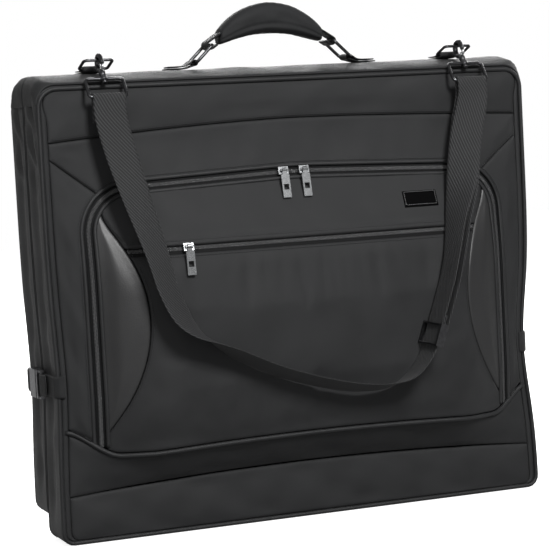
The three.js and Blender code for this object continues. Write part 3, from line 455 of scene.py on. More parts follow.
def sheet(name, place, width, height, material, body, slot, nodes, cloth, step, out=-Y_AXIS):
    """A sewn panel: place(u, v) gives its outer surface, and its four edges roll into seams."""
    u, v = np.meshgrid(spaced(width, step), spaced(height, step))
    points = np.stack(np.broadcast_arrays(*place(u, v)), -1).astype(float)
    across = arc_lengths(points, 1)
    along = arc_lengths(points, 0)
    edge = np.minimum.reduce([across, across[:, -1:] - across, along, along[-1:] - along])
    if cloth.pressure:
        settled = settle(points, edge < 0.3, cloth.pressure, cloth.slack, cloth.cap)
        points = lerp(points, settled, smooth(edge / SEAM_CALM)[..., None])
    normals = grid_normals(points, out)
    close = 1 - np.minimum(edge / ROLL_REACH, 1)
    lift = cloth.puff * smooth(edge / PUFF_REACH)
    ripple = cloth.ripple * waves(across, along, cloth.seed, cloth.ripple_length)
    lift = lift + ripple * smooth(edge / RIPPLE_REACH)
    run = (across + along) * 2 * math.pi / PUCKER_PITCH
    run = run + 1.5 * waves(across, along, cloth.seed + 7, 60)
    lift = lift + cloth.pucker * np.sin(run) * np.exp(-edge / PUCKER_FADE) * smooth(edge / 2)
    lift = lift - cloth.roll * (1 - np.sqrt(1 - close ** 2))
    outer = points + normals * lift[..., None]
    inner = points - normals * (cloth.thick + cloth.roll * 0.6)
    obj = layered_object(name, outer, inner, normals, np.stack([across, along], -1), material)
    return place_piece(obj, body, nodes) if body else obj


def front_cloth(name, place, size, nodes, step, **how):
    """A panel of the bag's own cloth on the front half."""
    sheet(name, place, *size, POLY, "front_half", "polyester", nodes, Cloth(**how), step)


def back_cloth(name, place, size, step, **how):
    """A panel of the bag's own cloth on the back."""
    sheet(name, place, *size, POLY, "back_half", "polyester", ["back_panel"], Cloth(**how), step, Y_AXIS)


def layered_object(name, outer, inner, normals, uv, material):
    """A closed sheet between two grids of points."""
    points = np.concatenate([outer.reshape(-1, 3), inner.reshape(-1, 3)])
    faces = closed_sheet_faces(*outer.shape[:2])
    obj = make_object(name, points, faces, material, np.concatenate([uv.reshape(-1, 2)] * 2))
    fix_normals(obj, outer, normals)
    return obj


def closed_sheet_faces(rows, columns):
    """Faces of a sheet with a front layer, a back layer and a rim."""
    layer = rows * columns
    rim = np.concatenate([np.arange(columns), np.arange(1, rows) * columns + columns - 1,
                          layer - 2 - np.arange(columns - 1), np.arange(rows - 2, 0, -1) * columns])
    following = np.roll(rim, -1)
    side = np.stack([following, rim, rim + layer, following + layer], -1)
    return np.concatenate([grid_faces(rows, columns), grid_faces(rows, columns, layer, True), side])


def fix_normals(obj, outer, normals):
    """Turns a sheet's faces out if its grid runs the other way."""
    mesh = obj.data
    middle = (outer.shape[0] // 2 - 1) * (outer.shape[1] - 1) + outer.shape[1] // 2
    face = np.array(mesh.polygons[middle].normal)
    if face @ normals[outer.shape[0] // 2, outer.shape[1] // 2] < 0:
        mesh.flip_normals()


def frames_along(points, closed=False):
    if closed:
        along = np.roll(points, -1, 0) - np.roll(points, 1, 0)
    else:
        along = np.gradient(points, axis=0)
    return unit(along)


def sweep(name, points, sides, section, material, closed=False, taper=None):
    """A section swept along points; sides is the section's own sideways direction at each point."""
    points = np.asarray(points, float)
    along = frames_along(points, closed)
    sides = np.broadcast_to(np.asarray(sides, float), points.shape)
    sides = unit(sides - (sides * along).sum(1)[:, None] * along)
    normals = np.cross(along, sides)
    section = np.asarray(section, float)
    scale = np.ones(len(points)) if taper is None else taper
    rings = (points[:, None] + sides[:, None] * section[None, :, :1] * scale[:, None, None]
             + normals[:, None] * section[None, :, 1:] * scale[:, None, None])
    faces = tube_faces(*rings.shape[:2], closed)
    run = np.r_[0, np.cumsum(np.linalg.norm(np.diff(points, axis=0), axis=1))]
    round_run = np.r_[0, np.cumsum(np.linalg.norm(np.diff(section, axis=0), axis=1))]
    uv = np.stack(np.meshgrid(round_run, run), -1)
    obj = make_object(name, rings, faces, material, uv)
    shell_volume = np.cross(rings[0, 0] - rings[0].mean(0), rings[0, 1] - rings[0].mean(0)) @ along[0]
    if shell_volume < 0:
        obj.data.flip_normals()
    return obj


def round_section(radius, sides=14):
    turn = np.arange(sides) / sides * 2 * math.pi
    return np.stack([radius * np.cos(turn), radius * np.sin(turn)], 1)


def strip_section(width, thick, across=13):
    """A webbing's section: flat, rounded at both edges, with a slight rib at each edge."""
    x = np.linspace(-1, 1, across)
    edge = np.sqrt(np.clip(1 - np.abs(x) ** 14, 0, 1))
    rib = 1 + 0.12 * np.exp(-((np.abs(x) - 0.9) / 0.05) ** 2)
    top = np.stack([x * width / 2, thick / 2 * np.maximum(edge, 0.35) * rib], 1)
    bottom = top[::-1] * [1, -1]
    return np.concatenate([bottom[::-1], top[::-1]])


def join(name, objects):
    """Joins mesh objects into one piece."""
    points, faces, uvs, first = [], [], [], 0
    for obj in objects:
        mesh = obj.data
        points.append(read_points(mesh) / MM)
        faces += [[first + i for i in polygon.vertices] for polygon in mesh.polygons]
        flat = np.zeros((len(mesh.vertices), 2))
        if mesh.uv_layers:
            loops = np.empty(len(mesh.loops), int)
            mesh.loops.foreach_get("vertex_index", loops)
            values = np.empty(len(mesh.loops) * 2)
            mesh.uv_layers[0].data.foreach_get("uv", values)
            flat[loops] = values.reshape(-1, 2)
        uvs.append(flat)
        first += len(mesh.vertices)
    material = objects[0].data.materials[0]
    for obj in objects:
        bpy.data.objects.remove(obj)
    return make_object(name, np.concatenate(points), faces, material, np.concatenate(uvs))


# ---- materials -------------------------------------------------------------------------------------
class Nodes:
    """A short way to write a material's node tree."""

    def __init__(self, name):
        self.material = bpy.data.materials.new(name)
        self.material.use_nodes = True
        self.tree = self.material.node_tree
        self.shader = self.tree.nodes["Principled BSDF"]

    def link(self, source, target):
        self.tree.links.new(source, target)

    def add(self, kind, **inputs):
        node = self.tree.nodes.new(kind)
        for key, value in inputs.items():
            socket = node.inputs[int(key[1:])] if key[0] == "i" and key[1:].isdigit() else node.inputs[key]
            if isinstance(value, bpy.types.NodeSocket):
                self.link(value, socket)
            else:
                socket.default_value = value
        return node

    def math(self, operation, a, b=None):
        values = {"i0": a} if b is None else {"i0": a, "i1": b}
        node = self.add("ShaderNodeMath", **values)
        node.operation = operation
        return node.outputs[0]

    def ramp(self, value, low, high, from_min=0.0, from_max=1.0):
        node = self.add("ShaderNodeMapRange", Value=value)
        limits = {"From Min": from_min, "From Max": from_max, "To Min": low, "To Max": high}
        for key, number in limits.items():
            node.inputs[key].default_value = number
        return node.outputs[0]

    def mix(self, share, a, b):
        node = self.tree.nodes.new("ShaderNodeMix")
        node.data_type = "RGBA"
        self.link(share, node.inputs[0])
        node.inputs[6].default_value = (*a, 1)
        node.inputs[7].default_value = (*b, 1)
        return node.outputs[2]

    def bump(self, height, strength, distance):
        node = self.add("ShaderNodeBump", Height=height, Strength=strength, Distance=distance)
        self.link(node.outputs[0], self.shader.inputs["Normal"])

    def colour(self, tone, dark, light):
        self.link(self.mix(tone, dark, light), self.shader.inputs["Base Color"])

    def roughness(self, value, limits, low=0.3, high=0.7):
        self.link(self.ramp(value, *limits, low, high), self.shader.inputs["Roughness"])

    def coordinates(self, kind, scale):
        """UV maps are in millimetres; object coordinates are metres."""
        source = self.tree.nodes.new("ShaderNodeTexCoord").outputs[kind]
        node = self.tree.nodes.new("ShaderNodeVectorMath")
        node.operation = "SCALE"
        self.link(source, node.inputs[0])
        node.inputs["Scale"].default_value = scale
        return node.outputs[0]

    def noise(self, vector, scale, detail=3.0):
        return self.add("ShaderNodeTexNoise", Vector=vector, Scale=scale, Detail=detail).outputs["Fac"]

    def set(self, **values):
        for key, value in values.items():
            self.shader.inputs[key.replace("_", " ")].default_value = value


def sine(nodes, value, period):
    return nodes.math("SINE", nodes.math("MULTIPLY", value, 2 * math.pi / period))


def woven(name, dark, light, sheen, period=1.1, rough=(0.6, 0.78), kind="UV", specular=0.32):
    """Cloth with over-and-under yarns, uneven dye and a soft sheen."""
    nodes = Nodes(name)
    where = nodes.coordinates(kind, 1.0 if kind == "UV" else 1000.0)
    parts = nodes.add("ShaderNodeSeparateXYZ", Vector=where)
    x = parts.outputs[0]
    y = parts.outputs[1] if kind == "UV" else parts.outputs[2]
    yarns = nodes.math("MULTIPLY", sine(nodes, x, period), sine(nodes, y, period))
    fine = nodes.noise(where, 0.9, 2.0)
    broad = nodes.noise(where, 0.018, 4.0)
    height = nodes.math("ADD", nodes.math("MULTIPLY", yarns, 0.5), fine)
    nodes.bump(height, 0.35, 0.0004)
    tone = nodes.math("ADD", nodes.ramp(broad, 0.0, 0.62, 0.3, 0.7), nodes.ramp(yarns, -0.12, 0.38, -1, 1))
    nodes.colour(tone, dark, light)
    nodes.roughness(broad, rough)
    nodes.set(Sheen_Weight=sheen, Sheen_Roughness=0.45, Specular_IOR_Level=specular)
    return nodes.material


def webbing(name, dark, light, slant, period):
    """Narrow webbing with slanted ribs."""
    nodes = Nodes(name)
    where = nodes.coordinates("UV", 1.0)
    parts = nodes.add("ShaderNodeSeparateXYZ", Vector=where)
    x, y = parts.outputs[0], parts.outputs[1]
    lean = nodes.math("ADD", nodes.math("MULTIPLY", x, slant), y)
    ribs = sine(nodes, lean, period)
    yarns = nodes.math("MULTIPLY", sine(nodes, x, 1.5), sine(nodes, y, 0.9))
    fine = nodes.noise(where, 1.4, 2.0)
    height = nodes.math("ADD", nodes.math("MULTIPLY", ribs, 0.9), nodes.math("MULTIPLY", yarns, 0.5))
    nodes.bump(nodes.math("ADD", height, fine), 0.55, 0.0005)
    tone = nodes.math("ADD", nodes.ramp(ribs, 0.0, 0.6, -1, 1), nodes.ramp(fine, 0.0, 0.4, 0.3, 0.7))
    nodes.colour(tone, dark, light)
    nodes.roughness(ribs, (0.72, 0.5), -1, 1)
    nodes.set(Sheen_Weight=0.06, Sheen_Roughness=0.4, Specular_IOR_Level=0.35)
    return nodes.material


def leather(name, dark, light, rough):
    """Smooth coated leather with a fine pebble and soft creases."""
    nodes = Nodes(name)
    where = nodes.coordinates("Object", 1000.0)
    cells = nodes.add("ShaderNodeTexVoronoi", Vector=where, Scale=0.55)
    broad = nodes.noise(where, 0.03, 4.0)
    fine = nodes.noise(where, 1.6, 3.0)
    height = nodes.math("ADD", cells.outputs["Distance"], nodes.math("MULTIPLY", fine, 0.4))
    nodes.bump(height, 0.16, 0.0004)
    nodes.colour(broad, dark, light)
    nodes.roughness(fine, rough)
    nodes.set(Coat_Weight=0.12, Coat_Roughness=0.4, Specular_IOR_Level=0.6)
    return nodes.material


def metal(name, dark, light, rough):
    """Plated metal with fine scuffs and uneven polish."""
    nodes = Nodes(name)
    where = nodes.coordinates("Object", 1000.0)
    scuffs = nodes.noise(where, 1.8, 5.0)
    broad = nodes.noise(where, 0.25, 2.0)
    nodes.bump(scuffs, 0.08, 0.0002)
    nodes.colour(broad, dark, light)
    nodes.roughness(scuffs, rough)
    nodes.set(Metallic=1.0)
    return nodes.material


def plastic(name, dark, light, rough):
    """Moulded nylon or board with a faint grain."""
    nodes = Nodes(name)
    where = nodes.coordinates("Object", 1000.0)
    grain = nodes.noise(where, 1.1, 3.0)
    nodes.bump(grain, 0.12, 0.0003)
    nodes.colour(grain, dark, light)
    nodes.roughness(grain, rough)
    return nodes.material


POLY = woven("polyester", (0.011, 0.0113, 0.012), (0.023, 0.0235, 0.0245), 0.08, rough=(0.55, 0.72))
# The gussets' cloth is the same black polyester as the panels. Its lighter colours paint in the light that
# falls on the bag's sides.
POLY_PAINTED_LIGHT = woven("polyester_soft", (0.03, 0.0303, 0.031), (0.062, 0.0625, 0.0635), 0.1, rough=(0.45, 0.6))
PIPING = woven("piping_cloth", (0.011, 0.0113, 0.012), (0.024, 0.0245, 0.0255), 0.05, rough=(0.4, 0.52))
LINING = woven("lining_cloth", (0.008, 0.0085, 0.0095), (0.016, 0.0165, 0.018), 0.05, 0.7, (0.36, 0.48))
HANDLE_CLOTH = woven("handle_cloth", (0.008, 0.0083, 0.009), (0.018, 0.0185, 0.0195), 0.05, 1.3,
                     kind="Object")
STRAP = webbing("strap_webbing", (0.003, 0.0032, 0.0036), (0.05, 0.0505, 0.052), 1.7, 6.2)
TAB = webbing("tab_webbing", (0.007, 0.0073, 0.008), (0.022, 0.0225, 0.0235), 0.6, 2.0)
LEATHER = leather("leather_trim", (0.011, 0.011, 0.0115), (0.019, 0.019, 0.0195), (0.42, 0.55))
LABEL = woven("label_cloth", (0.0012, 0.0012, 0.0014), (0.0028, 0.0028, 0.003), 0.0, 0.5, (0.85, 0.95),
              specular=0.06)
PALE_THREAD = plastic("pale_thread", (0.2, 0.2, 0.205), (0.34, 0.34, 0.345), (0.45, 0.6))
# Dark zip tape, painted darker than the bag's cloth to stand in for the shade in the zips' gaps.
TAPE_PAINTED_SHADE = woven("zip_tape", (0.003, 0.0031, 0.0034), (0.008, 0.0082, 0.0087), 0.0, 0.9, (0.62, 0.72),
             specular=0.16)
# Glossy plastic coils. Their colour is lighter than the black cloth to paint in the glints along the zips.
COIL_PAINTED_GLINTS = plastic("zip_coil", (0.05, 0.05, 0.051), (0.14, 0.14, 0.143), (0.14, 0.24))
THREAD = plastic("thread", (0.012, 0.0123, 0.013), (0.03, 0.0305, 0.032), (0.5, 0.65))
BOARD = plastic("spine_board_plastic", (0.02, 0.02, 0.02), (0.03, 0.03, 0.03), (0.5, 0.65))
GUNMETAL = metal("gunmetal", (0.05, 0.05, 0.053), (0.13, 0.13, 0.135), (0.22, 0.36))
STEEL = metal("gate_steel", (0.2, 0.2, 0.21), (0.34, 0.34, 0.35), (0.2, 0.32))
NICKEL = metal("bright_nickel", (0.42, 0.43, 0.44), (0.62, 0.63, 0.64), (0.16, 0.3))


# ---- front half ------------------------------------------------------------------------------------
SEAM = 0.35                     # half the gap between two sewn edges


def front(x, z, lift=0):
    return x, front_y(x, z) - lift, z


def front_line(points, lift=0.0):
    """Points on the front's surface, and the surface's outward direction at each."""
    points = np.asarray(points, float)
    x, z = points[:, 0], points[:, 1]
    step = 1.5
    dx = (front_y(x + step, z) - front_y(x - step, z)) / (2 * step)
    dz = (front_y(x, z + step) - front_y(x, z - step)) / (2 * step)
    out = unit(np.stack([dx, -np.ones_like(dx), dz], 1))
    base = np.stack([x, front_y(x, z), z], 1)
    return base + out * lift, out


DIAGONAL_X = 240
DIAGONAL_HIGH_Z = 437


def band_low(x):
    """Lower edge of the band under the yoke: down the two slanting seams, and over the main zip."""
    seam_low = zip_top(DIAGONAL_X, ZIP_OPEN)
    slant = lerp(seam_low, DIAGONAL_HIGH_Z, (np.abs(x) - DIAGONAL_X) / (WIDTH / 2 - EDGE - BAND - DIAGONAL_X))
    return np.where(np.abs(x) > DIAGONAL_X, slant, zip_top(x, ZIP_OPEN))


def build_surround():
    def yoke(u, v):
        level = lerp(yoke_z(WIDTH / 2), TOP_Z - EDGE, v)
        x = lerp(-panel_limit(-1, level), panel_limit(1, level), u)
        return front(x, lerp(yoke_z(x) + SEAM, TOP_Z - EDGE, v))

    def band(u, v):
        x = lerp(-panel_limit(-1, 450), panel_limit(1, 450), u)
        return front(x, lerp(band_low(x) + SEAM, yoke_z(x) - SEAM, v))

    node = ["front_surround"]
    front_cloth("front_yoke", yoke, (600, 46), node, 4, seed=3, puff=1.4, ripple=1.1, ripple_length=150)
    front_cloth("front_band", band, (600, 46), node, 3.2, seed=5, puff=1.2, ripple=1.0, ripple_length=130)
    for name, side in SIDES:
        front_cloth(f"front_side_{name}", side_panel(side), (45, 310), node, 3.2, seed=8 + side, puff=1.3,
                    ripple=0.9, ripple_length=90)


def side_panel(side):
    """Between a leg of the main zip and the side, under the slanting seam."""
    inner_low = smile_z(MAIN_ZIP_X) + PIPING_CLEAR
    turn = math.acos((DIAGONAL_X - ZIP_CORNER_X) / (MAIN_ZIP_R + ZIP_OPEN))
    arc = np.linspace(0, turn, 16)
    reach = MAIN_ZIP_R + ZIP_OPEN
    corner = np.stack([ZIP_CORNER_X + reach * np.cos(arc), ZIP_CORNER_Z + reach * np.sin(arc)], 1)
    leg = np.array([[MAIN_ZIP_X + ZIP_OPEN, inner_low]])
    inner = resample(np.concatenate([leg, corner]), 1.0)
    shares = np.linspace(0, 1, len(inner))

    def place(u, v):
        inner_x = np.interp(v, shares, inner[:, 0])
        inner_z = np.interp(v, shares, inner[:, 1])
        outer_z = lerp(smile_z(WIDTH / 2 - EDGE - BAND) + PIPING_CLEAR, DIAGONAL_HIGH_Z - SEAM, v)
        outer_x = panel_limit(side, outer_z)
        inner_z = inner_z - SEAM * v
        x = lerp(inner_x, outer_x, u)
        z = lerp(inner_z, outer_z, u)
        z = np.maximum(z, smile_z(x) + PIPING_CLEAR)
        return front(side * x, z)
    return place


FLAP_LIFT = 2.6                 # how far the flap's lower edge stands over the pocket zip


def build_pocket():
    def beside(z):
        inside = (z > CRESCENT_LOW_Z) & (z < CRESCENT_HIGH_Z)
        return np.where(inside, crescent_inner(z), zip_side(z, -ZIP_OPEN)) - SEAM

    def reach(level, v):
        """How far the panel reaches at its edge's own height, which depends on how far it reaches."""
        x = 220 + 0 * v
        for _ in range(12):
            x = lerp(x, beside(level(x, v)), 0.6)
        return x

    def flap_z(x, v):
        high = np.minimum(MAIN_ZIP_Z - ZIP_OPEN - zip_bow(x), zip_top(x, -ZIP_OPEN))
        return lerp(POCKET_ZIP_Z + 4.2, high, v)

    def flap(u, v):
        x = reach(flap_z, v) * (2 * u - 1)
        return front(x, flap_z(x, v), FLAP_LIFT * (1 - smooth(v * 6)))

    def pocket_z(x, v):
        return lerp(smile_z(x) + PIPING_CLEAR, POCKET_ZIP_Z - ZIP_OPEN, v)

    def pocket(u, v):
        x = reach(pocket_z, v) * (2 * u - 1)
        return front(x, pocket_z(x, v))

    def underside(u, v):
        level = lerp(crease_z(WIDTH / 2), smile_z(WIDTH / 2), v)
        x = lerp(-panel_limit(-1, level), panel_limit(1, level), u)
        return front(x, lerp(crease_z(x) + SEAM, smile_z(x) - PIPING_CLEAR, v))

    def hem(u, v):
        level = lerp(EDGE, crease_z(WIDTH / 2), v)
        x = lerp(-panel_limit(-1, level), panel_limit(1, level), u)
        return front(x, lerp(EDGE, crease_z(x) - SEAM, v))

    front_cloth("upper_flap_cloth", flap, (440, 68), ["upper_flap"], 4, seed=11, puff=0.6, ripple=0.5,
                ripple_length=140, pressure=1.5, cap=0.6)
    front_cloth("pocket_cloth", pocket, (500, 220), ["pocket_panel"], 5, seed=13, puff=0.9, ripple=1.1,
                ripple_length=190, pressure=1.2, slack=0.003, cap=3)
    front_cloth("pocket_underside_cloth", underside, (600, 62), ["pocket_underside"], 4.5, seed=17, puff=0.6,
                ripple=1.3, ripple_length=110)
    front_cloth("hem_cloth", hem, (600, 56), ["front_hem"], 4.5, seed=19, puff=1.1, ripple=1.5,
                ripple_length=130)


def build_crescents():
    for name, side in SIDES:
        def place(u, v):
            z = lerp(CRESCENT_LOW_Z, CRESCENT_HIGH_Z, v)
            x = lerp(crescent_inner(z) + SEAM, zip_side(z, -ZIP_OPEN) - SEAM * 0.5, u)
            return front(side * x, z)

        dome = Cloth(23 + side, puff=3.6, ripple=0.3, ripple_length=110, thick=1.6, roll=2.0, pucker=0.1)
        sheet(f"crescent_leather_{name}", place, 50, 258, LEATHER, "front_half", "leather_trim",
              [f"crescent_{name}"], dome, 2.6)


def zip_line(offset=0.0):
    """The main zip's line, from the foot of its left leg over the top to the foot of its right leg."""
    foot = smile_z(MAIN_ZIP_X) + PIPING_R
    radius = MAIN_ZIP_R + offset
    turn = np.linspace(0, math.pi / 2, 20)
    corner = np.stack([ZIP_CORNER_X + radius * np.cos(turn), ZIP_CORNER_Z + radius * np.sin(turn)], 1)
    top_x = np.linspace(ZIP_CORNER_X, 0, 40)[1:]
    top = np.stack([top_x, MAIN_ZIP_Z + offset - zip_bow(top_x)], 1)
    right = np.concatenate([[[MAIN_ZIP_X + offset, foot]], corner, top])
    left = right[:-1] * [-1, 1]
    return np.concatenate([left, right[::-1]])


COIL_PITCH = 1.5
COIL_HALF_SIZE = (1.25, 0.36, 0.62)
COIL_ASIDE = 1.05               # from the zip's middle to the middle of a coil
COIL_DOWN = 1.0
TAPE_DOWN = 2.0
TAPE_THICK = 0.9


def tape_and_coil(name, line, out, across, body):
    """A zip: its tape, and two rows of coils that meet in the middle."""
    section = strip_section(2 * TAPE_HALF, TAPE_THICK, 9)
    tape = sweep(f"{name}_tape", line - out * TAPE_DOWN, across, section, TAPE_PAINTED_SHADE)
    place_piece(tape, body, [name])
    fine = resample(np.concatenate([line, out, across], 1), COIL_PITCH / 2)
    at, normal, side = fine[:, :3], unit(fine[:, 3:6]), unit(fine[:, 6:])
    along = frames_along(at)
    hand = np.where(np.arange(len(at)) % 2 == 0, 1.0, -1.0)[:, None]
    wide, long, high = COIL_HALF_SIZE
    centre = at + side * hand * COIL_ASIDE - normal * COIL_DOWN
    corners = [centre + side * wide * a + along * long * b + normal * high * c for a, b, c in BOX_CORNERS]
    points = np.stack(corners, 1).reshape(-1, 3)
    faces = (np.arange(len(at))[:, None, None] * 8 + np.array(BOX_FACES)[None]).reshape(-1, 4)
    coil = make_object(f"{name}_coil", points, faces, COIL_PAINTED_GLINTS)
    bevel = coil.modifiers.new("Bevel", "BEVEL")
    bevel.width = 0.0002
    bevel.segments = 1
    place_piece(coil, body)


BOX_CORNERS = [(a, b, c) for a in (-1, 1) for b in (-1, 1) for c in (-1, 1)]
BOX_FACES = [(0, 1, 3, 2), (4, 6, 7, 5), (0, 4, 5, 1), (2, 3, 7, 6), (0, 2, 6, 4), (1, 5, 7, 3)]


def build_zips():
    line = resample(zip_line(), 3)
    at, out = front_line(line)
    along = frames_along(at)
    tape_and_coil("main_zip", at, out, np.cross(out, along), "front_half")
    x = np.linspace(-1, 1, 140) * (crescent_inner(POCKET_ZIP_Z) - 1)
    at, out = front_line(np.stack([x, np.full_like(x, POCKET_ZIP_Z)], 1))
    along = frames_along(at)
    tape_and_coil("pocket_zip", at, out, np.cross(out, along), "front_half")
    x = np.linspace(-BACK_ZIP_X, BACK_ZIP_X, 120)
    at = np.stack([x, np.full_like(x, BACK_Y + BACK_CROWN + 1.6), np.full_like(x, BACK_ZIP_Z)], 1)
    out, across = (np.broadcast_to(axis, at.shape) for axis in (Y_AXIS, Z_AXIS))
    tape_and_coil("back_zip", at, out, across, "back_half")


def build_welts():
    """Narrow folded edges that stand a little proud beside the main zip."""
    for name, offset in (("outer", ZIP_OPEN + 1.6), ("inner", -ZIP_OPEN - 1.6)):
        at, out = front_line(resample(zip_line(offset), 4), 0.4)
        section = round_section(1.5, 10) * [1.5, 1]
        welt = sweep(f"zip_welt_{name}", at, np.cross(out, frames_along(at)), section, PIPING)
        place_piece(welt, "front_half")


def build_piping():
    def ring(name, low, y, body, node):
        points = at_depth(resample(outline(low, PIPING_R), 5)[:-1], y)
        cord = sweep(name, points, Y_AXIS, round_section(PIPING_R), PIPING, True)
        place_piece(cord, body, [node])

    ring("front_edge_piping", 0, FRONT_Y + 0.5, "front_half", "front_piping")
    ring("back_edge_piping", BACK_LIFT, BACK_Y - 0.5, "back_half", "back_piping")
    ends = [-half_width(-1, PIPING_END_Z) + 8, half_width(1, PIPING_END_Z) - 8]
    x = np.linspace(*ends, 150)
    z = smile_z(x)
    points = np.stack([x, front_y(x, z), z], 1)
    smile = sweep("pocket_seam_piping", points, Y_AXIS, round_section(PIPING_R), PIPING)
    place_piece(smile, "front_half", ["pocket_piping"])


def build_gusset(name, low, from_y, to_y, body, node, seed):
    """The band round the sides and bottom, with the long folds of loose cloth."""
    count = max(5, int(abs(to_y - from_y) / 3.2))
    share = np.linspace(0, 1, count)
    depths = lerp(from_y, to_y, share)
    lines = np.stack([outline(low, 0, False, float(corner_radius(y))) for y in depths], 1)
    run = np.r_[0, np.cumsum(np.linalg.norm(np.diff(lines[:, 0], axis=0), axis=1))]
    along = unit(np.gradient(lines, axis=0))
    out = np.stack([-along[..., 1], along[..., 0]], -1)
    out = out * np.sign((out * (lines - [0, 250])).sum(-1).mean())
    s, r = np.meshgrid(share, run)
    x, z = lines[..., 0], lines[..., 1]
    flank = smooth((np.abs(x) - 285) / 15) * smooth((z - low - 10) / 50)
    middle = np.sin(math.pi * s) * flank
    lift = -1.8 * middle + 1.9 * np.sin(2 * math.pi * s * 1.3 + 1.6 * waves(r, s * 0, seed, 220)) * middle
    lift = lift + 1.7 * waves(r, s * 45, seed + 1, 110) * middle - 0.3
    crumple = smooth((z - 380) / 90) * np.sin(math.pi * s)
    folds = np.sin((r + s * 75) * 2 * math.pi / 46 + waves(r, s * 40, seed + 2, 70))
    lift = lift + 3.2 * crumple * flank * folds
    y = lerp(from_y, to_y, s)
    outer = np.stack([x + out[..., 0] * lift, y, z + out[..., 1] * lift], -1)
    inner = np.stack([x - out[..., 0] * 4, y, z - out[..., 1] * 4], -1)
    normals = np.stack([out[..., 0], 0 * s, out[..., 1]], -1)
    # The gussets take the polyester whose lighter colour is painted light from the side.
    obj = layered_object(name, outer, inner, normals, np.stack([y, r], -1), POLY_PAINTED_LIGHT)
    place_piece(obj, body, [node])


def build_edge_strips():
    """The narrow strips sewn between the front panels and the edge piping, down each side."""
    for name, side in SIDES:
        def place(u, v):
            z = lerp(EDGE, TOP_Z - 14, v)
            x = lerp(panel_limit(side, z) + SEAM, edge_limit(side, z, 0), u)
            return front(side * x, z)

        front_cloth(f"front_edge_strip_{name}", place, (BAND * 2, 500), (), 4, seed=27 + side, puff=0.9,
                    ripple=0.25, roll=1.6, pucker=0.1)


def build_binding(name, low, y, body):
    """Bound edge where a gusset meets its lining."""
    points = at_depth(resample(outline(low, 1.2, False, float(corner_radius(y))), 4), y)
    place_piece(sweep(name, points, Y_AXIS, round_section(1.7, 10), PIPING), body)


def build_linings():
    def lining(name, low, y, out, body, node, seed):
        def place(u, v):
            z = lerp(low + 1, HEIGHT - 7, v)
            x = lerp(-half_width(-1, z) + 7, half_width(1, z) - 7, u)
            return x, y + 0 * x, z
        cloth = Cloth(seed, puff=0.1, ripple=0.35, ripple_length=130, thick=1.2, roll=0.8, pucker=0.1)
        sheet(name, place, 590, 510, LINING, body, "lining", [node], cloth, 9, out)

    lining("front_lining_cloth", 0, FRONT_INNER_Y - 0.6, Y_AXIS, "front_half", "front_lining", 31)
    lining("back_lining_cloth", BACK_LIFT, BACK_INNER_Y + 0.6, -Y_AXIS, "back_half", "back_lining", 33)


# ---- spine and back --------------------------------------------------------------------------------
COVER_OVERHANG = 14
BLEND_WIDTH = 10                # how far the back cover's blend_y lies inside its back edge


def spine_cover(name, from_y, to_y, seed):
    """Half of the band over the top; its ends turn down over the rounded corners."""
    width = WIDTH + 2 * COVER_OVERHANG

    def place(u, v):
        y = lerp(from_y, to_y, v)
        radius = corner_radius(y)
        flat = WIDTH / 2 - radius
        bend = radius * math.pi / 2
        run = np.abs(2 * u - 1) * (flat + bend + TOP_CORNER_R - radius)
        turn = np.clip((run - flat) / radius, 0, math.pi / 2)
        drop = np.maximum(run - flat - bend, 0)
        top = spine_top(y)
        x = np.sign(u - 0.5) * (np.minimum(run, flat) + (radius + 0.6) * np.sin(turn))
        sink = top - HEIGHT - 1
        return x, y, top + 0.3 - (radius + sink) * (1 - np.cos(turn)) - drop

    cloth = Cloth(seed, puff=0.7, ripple=0.8, ripple_length=110, thick=1.6, roll=1.2, pucker=0.2)
    return sheet(name, place, width, to_y - from_y, POLY, None, "polyester", (), cloth, 4, Z_AXIS)


def build_spine():
    covers = (("front", FRONT_Y + 1, SPINE_MID_Y, 41, "front_half", "spine", FRONT_Y + 2),
              ("back", SPINE_MID_Y, BACK_Y - 1, 43, "spine", "back_half", BACK_Y - 2 - BLEND_WIDTH))
    made = []
    for name, from_y, to_y, seed, first, second, blend_y in covers:
        cover = spine_cover(f"spine_cover_{name}", from_y, to_y, seed)
        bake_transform(cover)
        made.append(cover)
    for cover in made:
        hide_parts("spine_panel")


WELT_DEPTH = 9                  # how far the hidden strips reach down behind the top edge piping
WELT_BEHIND = 3.4               # from the outer face to a strip


def build_hinge_welts():
    """Strips behind the top edges, which close the seams to the spine's cover when the bag is open."""
    halves = (("front_half", 0, FRONT_Y + WELT_BEHIND), ("back_half", BACK_LIFT, BACK_Y - WELT_BEHIND))
    for body, low, y in halves:
        reach = TOP_Z - spine_top(y) + 1
        line = outline(low, (reach + WELT_DEPTH) / 2)
        line = line[line[:, 1] > TOP_Z - TOP_CORNER_R * 0.45]
        line = resample(line[np.argsort(line[:, 0])], 5)
        along = frames_along(line)
        sides = np.stack([-along[:, 1], 0 * along[:, 0], along[:, 0]], 1)
        section = strip_section(WELT_DEPTH - reach, 0.9)
        strip = sweep(f"hinge_welt_{body}", at_depth(line, y), sides, section, POLY)
        place_piece(strip, body)


